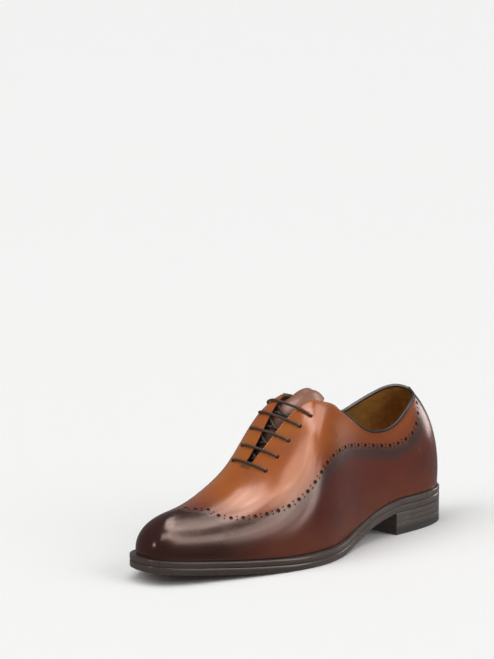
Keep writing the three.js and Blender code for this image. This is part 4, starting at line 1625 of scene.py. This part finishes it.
    @staticmethod
    def _keep_shading(shell: bpy.types.Object, whole: bpy.types.Object) -> None:
        """Gives the punched leather the smooth shading that it had before the holes.

        Args:
            shell: The leather with its holes.
            whole: The same leather without them, which is removed.
        """
        keep = shell.modifiers.new("smooth shading", "DATA_TRANSFER")
        keep.object = whole
        keep.use_loop_data = True
        keep.data_types_loops = {"CUSTOM_NORMAL"}
        keep.loop_mapping = "POLYINTERP_NEAREST"
        applied(shell)
        bpy.data.objects.remove(whole)
        mesh = shell.data
        normals = np.empty(len(mesh.loops) * 3)
        mesh.corner_normals.foreach_get("vector", normals)
        normals = normals.reshape(-1, 3)
        for face in mesh.polygons:
            if face.material_index == 1:
                normals[list(face.loop_indices)] = face.normal
        mesh.normals_split_custom_set(normals)

    def _lining(self) -> None:
        """Makes the lining inside the leather."""
        turns = self.last.stations(self.lining_steps)
        piece = Piece("upper_lining")
        side = np.minimum(turns, self.last.turns - turns)
        throat = side > self.last.turn_at_ridge(self.last.throat_top * self.last.length)
        drop = np.where(throat, self.lining_throat_drop, self.lining_drop)
        _, _, outer = self._grid(turns, self.lining_levels, -self.leather - self.lining_gap, drop)
        _, _, inner = self._grid(turns, self.lining_levels, -self.wall, drop)
        piece.sheet(self.last.to_part(outer), flip=True)
        piece.sheet(self.last.to_part(inner))
        piece.weld()
        low, high = [], []
        foot_reach = 8 * MILLIMETRE
        for edge in piece.bm.edges:
            if edge.is_boundary:
                spot = edge.verts[0].co
                foot = self.last.feather_height(spot.x / MILLIMETRE + self.last.middle_x) * MILLIMETRE
                (low if spot.z < foot + foot_reach else high).append(edge)
        for rim in (low, high):
            bmesh.ops.bridge_loops(piece.bm, edges=rim)
        piece.outward()
        mount_piece(piece.finish([self.finishes.lining]), [])

    def _rim_turns(self, end_x: float, count: int) -> np.ndarray:
        """Turns along the collar from the inner facing over the heel to the outer facing.

        Args:
            end_x: Place along the shoe where they end.
            count: How many each side has.

        Returns:
            The turns, which pass a whole turn at the heel.
        """
        tries = 500
        side = np.linspace(0, self.last.turn_at_ridge(self.last.throat_top * self.last.length), tries)
        rim = self.last.points(side, self.last.top_of_upper(side))
        end = side[np.argmax(rim[:, 0] > end_x)]
        half = np.linspace(0, end, count)
        return np.concatenate([-half[::-1], half[1:]]) + self.last.turns

    def _rim(self, turns: np.ndarray) -> tuple[np.ndarray, np.ndarray, np.ndarray]:
        """The upper's top edge.

        Args:
            turns: Turns along it, neighbours in order.

        Returns:
            Its points, and the outward and the rising direction at each.
        """
        wrapped = np.mod(turns, self.last.turns)
        top = self.last.top_of_upper(wrapped)
        points = self.last.points(wrapped, top)
        normals = self.last.normals(wrapped, top)
        along = np.gradient(points, axis=0)
        along /= np.linalg.norm(along, axis=1)[:, None]
        rising = np.cross(along, normals)
        rising /= np.linalg.norm(rising, axis=1)[:, None]
        rising *= np.where(rising[:, 2] < 0, -1, 1)[:, None]
        return points, normals, rising

    def _binding(self) -> None:
        """Makes the dark bound edge around the collar."""
        last = self.last
        stations, sides, least = 130, 16, 0.1
        turns = self._rim_turns(last.binding_end * last.length, stations)
        points, normals, rising = self._rim(turns)
        angle = np.linspace(0, math.tau, sides + 1)
        shape_x, shape_z = (np.sign(wave) * np.abs(wave) ** self.binding_squareness * half for wave, half in (
            (np.cos(angle), self.binding_half_width), (np.sin(angle), self.binding_half_height)))
        from_end = np.minimum(np.arange(len(turns)), np.arange(len(turns))[::-1])
        end = np.clip(from_end / self.binding_end_points, 0, 1)
        thin = np.sqrt(1 - (1 - end) ** 2) * (1 - least) + least
        lift = self.binding_half_height - self.binding_overlap
        centre = points - normals * self.wall / 2 + rising * lift * thin[:, None]
        rim = (centre[:, None] + normals[:, None] * (shape_x[None, :, None] * thin[:, None, None])
               + rising[:, None] * (shape_z[None, :, None] * thin[:, None, None]))
        piece = Piece("collar_edge")
        piece.sheet(last.to_part(rim))
        piece.weld()
        bmesh.ops.holes_fill(piece.bm, edges=[e for e in piece.bm.edges if e.is_boundary], sides=0)
        piece.outward()
        mount_piece(piece.finish([self.finishes.trim]), ["collar_binding"])

    def _stitches(self) -> None:
        """Makes the stitch rows along the collar and the facings, and the bar tack under the throat."""
        last = self.last
        piece = Piece("edge_stitches")
        count, proud = 200, 0.02
        points, normals, rising = self._rim(self._rim_turns(last.binding_end * last.length, count))
        path = points - rising * self.collar_stitch_depth + normals * proud
        Stitching().sew(piece, last, path, normals)
        mount_piece(piece.finish([self.finishes.thread]), [])
        self._facing_stitches()
        self._bar_tack()

    def _facing_stitches(self) -> None:
        """Makes the pale stitch row along the outer facing and around both facings' tops."""
        last = self.last
        piece = Piece("facing_stitches")
        stitching = Stitching(length=1.4, gap=0.9, thickness=0.52, sink=0.0)
        count, proud, end_room = 60, 0.03, 2.0
        for side in Side:
            marks = (last.corner_start, last.throat_top)
            start, end = (last.turn_at_ridge(share * last.length) for share in marks)
            around = np.linspace(start, end, count)
            turns = around if side is Side.OUTER else last.turns - around
            points, normals, rising = self._rim(turns)
            stitching.sew(piece, last, points - rising * self.facing_stitch_depth + normals * proud, normals)
        top, foot = (share * last.length for share in (last.throat_top, last.throat_foot))
        x = np.linspace(top + end_room, foot - end_room, count)
        turns = np.array([last.turn_at_ridge(value) for value in x])
        ups = last.up_at_half_width(turns, last.half_gap(x) + self.facing_stitch_depth)
        stitching.sew(piece, last, last.offset(turns, ups, proud), last.normals(turns, ups))
        mount_piece(piece.finish([self.finishes.pale_thread]), [])

    def _bar_tack(self) -> None:
        """Makes the sewn bar that holds the facings together at the foot of the throat."""
        last = self.last
        piece = Piece("bar_tack")
        turn = last.turn_at_ridge(last.slit_end * last.length + self.tack_beyond_slit)
        places, spacing, row_gap = 21, 2, 0.5
        turns, ups = last.across_ridge(turn, self.tack_half_width, np.linspace(-1, 1, places))
        normals = last.normals(turns, ups)
        for row in (-row_gap, row_gap):
            path = last.offset(turns, ups, 0.1)
            path[:, 0] += row
            Stitching(length=2.4, gap=0.2, thickness=0.6, sink=0.0).sew(piece, last, path, normals)
        slant = np.array([1.5, 0.0, -0.9])
        crossing = Stitching(length=3.2, gap=0.1, thickness=0.5, sink=-0.1)
        for k in range(spacing, places - spacing, spacing):
            base = last.offset(turns[[k]], ups[[k]], 0.2)[0]
            path = np.array([base - slant, base, base + slant])
            crossing.sew(piece, last, path, np.repeat(normals[[k]], len(path), axis=0))
        mount_piece(piece.finish([self.finishes.tack_thread]), [])


@dataclass
class Tongue(Part):
    """The tongue, bent under the facings, with its rounded top standing up past them."""

    foot_share: float = 0.68
    top_share: float = 0.432
    foot_width: float = 30.0
    top_width: float = 31.0
    inner_reach: float = 1.34
    thickness: float = 2.0
    depth: float = 2.8
    lace_room: float = 2.4
    rise: float = 2.6
    # how much less the edges rise than the middle
    edge_fall: float = 0.8
    # shares of the length over which the tongue comes up past the lace, and then rises
    surfacing: tuple = (0.80, 0.93)
    rising: tuple = (0.86, 0.99)
    # above 1 the rows crowd towards the top
    row_spread: float = 1.6
    # share of the thickness by which the back lies behind the front
    back_share: float = 0.8
    rounded_from: float = 0.90
    top_flat: float = 0.8
    rows: int = 64
    columns: int = 28

    def build(self) -> None:
        """Makes the tongue."""
        last = self.last
        f = 1 - (1 - np.linspace(0, 1, self.rows + 1)) ** self.row_spread
        share = np.linspace(-1, 1, self.columns + 1)
        x = last.length * (self.foot_share + (self.top_share - self.foot_share) * f)
        layers = {0: [], 1: []}
        for value, place in zip(x, f):
            turn = last.turn_at_ridge(value)
            corner = math.sqrt(1 - min(max((place - self.rounded_from) / (1 - self.rounded_from), 0), 1) ** 2)
            half = (self.foot_width + (self.top_width - self.foot_width) * place) / 2
            half *= self.top_flat + (1 - self.top_flat) * corner
            reach = np.where(share < 0, 1 + (self.inner_reach - 1) * place, 1)
            turns, ups = last.across_ridge(turn, half, share * reach)
            sunk = self.lace_room * (1 - float(smooth(*self.surfacing, place)))
            raised = self.rise * float(smooth(*self.rising, place)) * (1 - self.edge_fall * np.abs(share) ** 3)
            for k in layers:
                row = last.offset(turns, ups, -self.depth - sunk - k * self.thickness * self.back_share)
                row[:, 2] += raised
                layers[k].append(row)
        piece = Piece("tongue_leather")
        piece.sheet(last.to_part(np.array(layers[0])))
        piece.sheet(last.to_part(np.array(layers[1])), flip=True, material=1)
        edges = [e for e in piece.bm.edges if e.is_boundary]
        bmesh.ops.bridge_loops(piece.bm, edges=edges)
        piece.outward()
        mount_piece(piece.finish([self.finishes.tongue, self.finishes.lining]), ["tongue"])


@dataclass
class Bottom(Part):
    """Outsole, welt, insole and the heel's stack."""

    steps: tuple = (70, 16, 24, 60)
    welt_inner: float = 9.0
    insole: float = 3.0
    top_piece: float = 5.5
    lifts: int = 3
    breast: float = 70.0
    lift_gap: float = 0.1
    # how far the lowest lift and the welt stand off what is under them
    piece_gap: float = 0.12
    welt_gap: float = 0.05
    edge_round: float = 0.25
    heel_turns: float = 4.5
    heel_stations: int = 181
    lid_columns: int = 9
    heel_lid_columns: int = 7

    def _levels(self, turns: np.ndarray, rows: Sequence[tuple[float, float]],
                from_ledge: bool = True) -> np.ndarray:
        """Rings of a profile around the shoe.

        Args:
            turns: Turns around the last.
            rows: Each ring's distance outside the sole's edge and height over its underside.
            from_ledge: Whether the sole's edge or the last's counts.

        Returns:
            Points by turn and by ring, in metres.
        """
        rings = []
        for outwards, rise in rows:
            plan = self.last.foot_ring(
                turns, lambda x, past=outwards: (self.last.ledge(x) if from_ledge else 0 * x) + past)
            rings.append(np.c_[plan, self.last.sole_height(plan[:, 0]) + rise])
        return self.last.to_part(np.stack(rings, axis=1))

    def _lid(self, piece: Piece, ring: np.ndarray, flip: bool, material: int = 0) -> None:
        """Closes a mirrored ring with rungs from its outer to its inner side.

        Args:
            piece: The mesh that takes the lid.
            ring: Its points in metres, from heel to heel.
            flip: Whether they look the other way.
            material: Slot number of its faces.
        """
        half = (len(ring) - 1) // 2
        outer, inner = ring[:half + 1], ring[half:][::-1]
        share = np.linspace(0, 1, self.lid_columns)[None, :, None]
        piece.sheet(outer[:, None] * (1 - share) + inner[:, None] * share, flip=flip, material=material)

    def build(self) -> None:
        """Makes all pieces of the bottom."""
        turns = self.last.stations(self.steps)
        self._outsole(turns)
        self._welt(turns)
        self._insole(turns)
        self._heel()

    def _outsole(self, turns: np.ndarray) -> None:
        """Makes the outsole with its rounded edge.

        Args:
            turns: Turns around the last.
        """
        outsole = Piece("sole")
        rows = ((-0.7, 0.0), (-0.2, 0.25), (0.0, 0.8), (0.05, 2.7), (0.0, 4.6), (-0.25, 5.1),
                (-0.8, self.last.outsole))
        rim = self._levels(turns, rows)
        outsole.sheet(rim, flip=True)
        self._lid(outsole, rim[:, 0], flip=False, material=1)
        self._lid(outsole, rim[:, -1], flip=True)
        outsole.weld()
        outsole.outward()
        mount_piece(outsole.finish([self.finishes.edge, self.finishes.tread]), ["outsole"])

    def _welt(self, turns: np.ndarray) -> None:
        """Makes the welt, a closed band around the shoe.

        Args:
            turns: Turns around the last.
        """
        low = self.last.outsole + self.welt_gap
        high = self.last.outsole + self.last.clearance + self.last.welt
        welt = Piece("welt_edge")
        band = self._levels(turns, ((-0.8, low), (-0.2, low + 0.2), (0.0, low + 0.7), (0.05, low + 2.2),
                                    (0.0, high - 0.7), (-0.2, high - 0.2), (-0.7, high), (-2.0, high)))
        inner = self._levels(turns, ((-self.welt_inner, high), (-self.welt_inner, low)), from_ledge=False)
        welt.sheet(np.concatenate([band, inner, band[:, :1]], axis=1), flip=True)
        welt.weld()
        welt.outward()
        mount_piece(welt.finish([self.finishes.edge]), ["welt"])

    def _insole(self, turns: np.ndarray) -> None:
        """Makes the insole under the foot.

        Args:
            turns: Turns around the last.
        """
        sock = Piece("insole_sock")
        foot = self.last.feather_rise
        top = foot + self.insole
        rings = self._levels(turns, ((-2.6, foot), (-2.5, top - 0.6), (-3.1, top)), from_ledge=False)
        sock.sheet(rings, flip=True)
        self._lid(sock, rings[:, -1], flip=True)
        self._lid(sock, rings[:, 0], flip=False)
        sock.weld()
        sock.outward()
        mount_piece(sock.finish([self.finishes.lining]), ["insole"])

    def _heel_outline(self, outwards: float) -> np.ndarray:
        """Plan of the heel, from the breast around the back to the breast.

        Args:
            outwards: How far outside the sole's edge it runs.

        Returns:
            One row of x and y for each point.
        """
        last = self.last
        turns = np.linspace(-self.heel_turns, self.heel_turns, self.heel_stations)
        plan = last.foot_ring(turns + last.turns, lambda x: last.ledge(x) + outwards)
        inside = np.flatnonzero(plan[:, 0] < self.breast)
        first, final = inside[0], inside[-1]
        ends = []
        for a, b in ((first - 1, first), (final, final + 1)):
            f = (self.breast - plan[a, 0]) / (plan[b, 0] - plan[a, 0])
            ends.append(plan[a] + (plan[b] - plan[a]) * f)
        return np.concatenate([[ends[0]], plan[first:final + 1], [ends[1]]])

    def _slab(self, name: str, low: float, high: float, material: bpy.types.Material,
              under_sole: bool = False) -> bpy.types.Object:
        """One layer of the heel with softly rounded edges.

        Args:
            name: Its name.
            low: Height of its underside.
            high: Height of its top.
            material: The material around it.
            under_sole: Whether its top follows the outsole.

        Returns:
            The layer.
        """
        last, soft = self.last, self.edge_round
        rings = []
        profile = ((-soft, 0.0, False), (0.0, soft, False), (0.0, -soft, True), (-soft, 0.0, True))
        for outwards, rise, at_top in profile:
            plan = self._heel_outline(outwards)
            height = np.full(len(plan), high if at_top else low)
            if at_top and under_sole:
                height = last.sole_height(plan[:, 0]) - last.clearance
            rings.append(np.c_[plan, height + rise])
        count = min(len(ring) for ring in rings)
        wall = last.to_part(np.stack([ring[:count] for ring in rings], axis=1))
        piece = Piece(name)
        piece.sheet(wall, flip=True)
        half = count // 2
        share = np.linspace(0, 1, self.heel_lid_columns)[None, :, None]
        for ring, flip in ((wall[:, 0], True), (wall[:, -1], False)):
            side, other = ring[:half + 1][::-1], ring[count - half - 1:]
            piece.sheet(other[:, None] * (1 - share) + side[:, None] * share, flip=flip)
        piece.sheet(np.stack([wall[0], wall[-1]], axis=0), material=1)
        piece.weld(2.5 * WELD)
        piece.outward()
        return piece.finish([material, self.finishes.breast])

    def _heel(self) -> None:
        """Makes the rubber top piece and the lifts over it."""
        rubber = self._slab("heel_rubber", 0.0, self.top_piece, self.finishes.rubber)
        mount_piece(rubber, ["heel_top_piece"])
        bottom = self.top_piece + self.piece_gap
        top = self.last.heel_height - self.lift_gap
        each = (top - bottom - self.lift_gap * (self.lifts - 1)) / self.lifts
        for number in range(self.lifts):
            low = bottom + number * (each + self.lift_gap)
            highest = number == self.lifts - 1
            lift = self._slab(f"heel_layer_{number + 1}", low, low + each, self.finishes.heel, highest)
            mount_piece(lift, [f"heel_lift_{number + 1}"])


@dataclass
class HeelTab(Part):
    """The short tab on the back of the heel."""

    length: float = 12.0
    width: float = 5.0
    thickness: float = 1.1
    # shares of the thickness that the edges keep, and of the width and length at the narrowed foot
    edge_share: float = 0.35
    foot_width: float = 0.5
    foot_length: float = 0.12
    outer_gap: float = 0.3
    inner_gap: float = 0.15
    rows: int = 25
    columns: int = 13

    def build(self) -> None:
        """Makes the tab."""
        last = self.last
        top = float(last.top_of_upper(np.array([0.0]))[0])
        top_z = last.points(0.0, top)[0, 2]
        low = float(last.up_where(np.array([0.0]), lambda p: p[:, 2] > top_z - self.length)[0])
        reach = self.width / 2 / np.linalg.norm(last.curves(0.0)[0, 0] - last.curves(1.0)[0, 0])
        ends = (0.03, 0.97)
        rise = np.linspace(*ends, self.rows)
        side = np.linspace(-1, 1, self.columns)
        rounding = np.sqrt(1 - np.clip((self.foot_length - rise) / self.foot_length, 0, 1) ** 2)
        narrow = rounding * (1 - self.foot_width) + self.foot_width
        turn = (reach * side[None] * narrow[:, None] + last.turns).ravel()
        up = np.repeat(low + (top - low) * rise, len(side))
        crown = np.sqrt(np.clip(1 - np.tile(side, len(rise)) ** 4, 0, 1))
        stand = self.outer_gap + self.thickness * (self.edge_share + (1 - self.edge_share) * crown)
        piece = Piece("heel_strap")
        outer = last.offset(turn, up, stand).reshape(len(rise), len(side), 3)
        inner = last.offset(turn, up, self.inner_gap).reshape(len(rise), len(side), 3)
        piece.sheet(last.to_part(outer))
        piece.sheet(last.to_part(inner), flip=True)
        bmesh.ops.bridge_loops(piece.bm, edges=[e for e in piece.bm.edges if e.is_boundary])
        piece.outward()
        mount_piece(piece.finish([self.finishes.trim]), ["heel_tab"])


@dataclass
class Studio:
    """Camera, lights and floor."""

    target: tuple = (0.0528, 0.00135, 0.1769)
    azimuth: float = 44.83
    elevation: float = 10.93
    distance: float = 2.2
    lens: float = 162.8
    sensor: float = 36.0
    surround: float = 0.22
    surround_colour: tuple = (0.97, 0.98, 1.0, 1.0)
    backdrop: float = 0.92
    backdrop_colour: tuple = (0.985, 0.985, 0.970, 1.0)
    floor_colour: tuple = (0.86, 0.86, 0.85, 1.0)
    floor_reach: float = 40.0
    # name, direction from the shoe, power, degrees that it takes up as seen from the shoe
    lamps: tuple = (
        ("top lamp", (0.15, -0.05, 1.0), 1.46, 60.0),
        ("window lamp", (1.0, -0.25, 0.80), 1.10, 42.0),
        ("side lamp", (-0.35, 1.0, 0.75), 0.97, 42.0),
    )
    # name, azimuth, elevation, width and height in metres, brightness
    softboxes: tuple = (
        ("front softbox", 50.0, 51.0, (1.35, 0.95), 5.2),
        ("ridge softbox", 90.0, 68.0, (0.8, 1.1), 6.8),
        ("middle softbox", 78.0, 42.0, (0.8, 0.9), 5.6),
        ("lower softbox", 88.0, 26.0, (0.9, 0.7), 5.8),
        ("low softbox", 104.0, 15.0, (0.8, 0.6), 4.6),
        ("skirting softbox", 112.0, 5.0, (0.6, 0.5), 6.0),
        ("left softbox", 140.0, 57.0, (1.8, 1.2), 5.0),
        ("toe softbox", -8.0, 18.0, (0.5, 0.4), 11.0),
        ("back softbox", -130.0, 73.0, (0.8, 0.8), 5.5),
        ("zenith softbox", 140.0, 86.0, (1.0, 1.0), 7.5),
        ("heel softbox", 178.0, 4.0, (0.8, 0.6), 5.0),
    )
    softbox_colour: tuple = (1.0, 0.90, 0.85)
    softbox_distance: float = 2.5
    softbox_centre: tuple = (0.05, 0.0, 0.05)

    @staticmethod
    def _direction(azimuth: float, elevation: float) -> Vector:
        """Direction from the shoe, by degrees around the vertical and over the floor."""
        around, rise = math.radians(azimuth), math.radians(elevation)
        return Vector((math.cos(around) * math.cos(rise), math.sin(around) * math.cos(rise), math.sin(rise)))

    def _camera(self) -> None:
        """Places the camera at the photograph's viewing angle."""
        back = self._direction(self.azimuth, self.elevation)
        data = bpy.data.cameras.new("camera")
        data.lens = self.lens
        data.sensor_width = self.sensor
        camera = bpy.data.objects.new("camera", data)
        bpy.context.scene.collection.objects.link(camera)
        camera.location = Vector(self.target) + back * self.distance
        camera.rotation_euler = back.to_track_quat("Z", "Y").to_euler()
        bpy.context.scene.camera = camera

    def _sky(self) -> None:
        """Surrounds the shoe with soft grey light, seen by the camera as the pale backdrop."""
        world = bpy.data.worlds.new("studio")
        bpy.context.scene.world = world
        world.use_nodes = True
        graph = Graph(world.node_tree)
        surround = world.node_tree.nodes["Background"]
        surround.inputs["Color"].default_value = self.surround_colour
        surround.inputs["Strength"].default_value = self.surround
        backdrop = graph.add("ShaderNodeBackground",
                             {"Color": self.backdrop_colour, "Strength": self.backdrop})
        seen = graph.add("ShaderNodeLightPath").outputs["Is Camera Ray"]
        mixed = graph.add("ShaderNodeMixShader", {0: seen, 1: surround.outputs[0], 2: backdrop.outputs[0]})
        world.node_tree.links.new(mixed.outputs[0], world.node_tree.nodes["World Output"].inputs["Surface"])

    def _floor(self) -> None:
        """Lays the plain pale floor."""
        bm = bmesh.new()
        bmesh.ops.create_grid(bm, x_segments=1, y_segments=1, size=self.floor_reach)
        mesh = bpy.data.meshes.new("floor")
        bm.to_mesh(mesh)
        bm.free()
        floor = bpy.data.objects.new("floor", mesh)
        bpy.context.scene.collection.objects.link(floor)
        material, _, shader = new_material("pale floor")
        shader.inputs["Base Color"].default_value = self.floor_colour
        shader.inputs["Roughness"].default_value = 0.8
        shader.inputs["Specular IOR Level"].default_value = 0.1
        mesh.materials.append(material)
        floor.visible_glossy = False

    @staticmethod
    def _lamp(name: str, toward: Sequence[float], power: float, degrees: float) -> None:
        """Places one distant soft lamp, which lights the shoe and the floor evenly.

        Args:
            name: Its name.
            toward: Direction from the shoe to the lamp.
            power: Its strength.
            degrees: How large it looks.
        """
        data = bpy.data.lights.new(name, "SUN")
        data.energy = power
        data.angle = math.radians(degrees)
        light = bpy.data.objects.new(name, data)
        bpy.context.scene.collection.objects.link(light)
        light.rotation_euler = Vector(toward).to_track_quat("Z", "Y").to_euler()
        light.visible_glossy = False

    def _softbox(self, name: str, azimuth: float, elevation: float, size: tuple[float, float],
                 glow: float) -> None:
        """Places one softbox, which shows as a gleam on polished leather.

        Args:
            name: Its name.
            azimuth: Its direction around the vertical, in degrees from the toe.
            elevation: Its height, in degrees.
            size: Its sides in metres.
            glow: Its brightness.
        """
        toward = self._direction(azimuth, elevation)
        data = bpy.data.lights.new(name, "AREA")
        data.shape = "RECTANGLE"
        data.size, data.size_y = size
        data.energy = glow * math.pi * size[0] * size[1]
        data.color = self.softbox_colour
        light = bpy.data.objects.new(name, data)
        bpy.context.scene.collection.objects.link(light)
        light.location = toward * self.softbox_distance + Vector(self.softbox_centre)
        light.rotation_euler = toward.to_track_quat("Z", "Y").to_euler()
        light.visible_diffuse = False

    def build(self) -> None:
        """Makes camera, lamps, floor and surroundings."""
        self._camera()
        for lamp in self.lamps:
            self._lamp(*lamp)
        for softbox in self.softboxes:
            self._softbox(*softbox)
        self._sky()
        self._floor()
        bpy.context.scene.view_settings.view_transform = "Standard"


def main() -> None:
    """Builds the shoe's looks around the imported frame, then the studio."""
    logging.basicConfig(level=logging.INFO, format="%(message)s")
    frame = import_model()
    LOG.info("frame: %d nodes", len(frame["nodes"]))
    last = Last()
    finishes = Finishes.make()
    lacing = Lacing(last, finishes)
    Upper(last, finishes, PunchedLine(last), lacing).build()
    Tongue(last, finishes).build()
    lacing.build()
    HeelTab(last, finishes).build()
    Bottom(last, finishes).build()
    Studio().build()


if __name__ == "__main__":
    main()
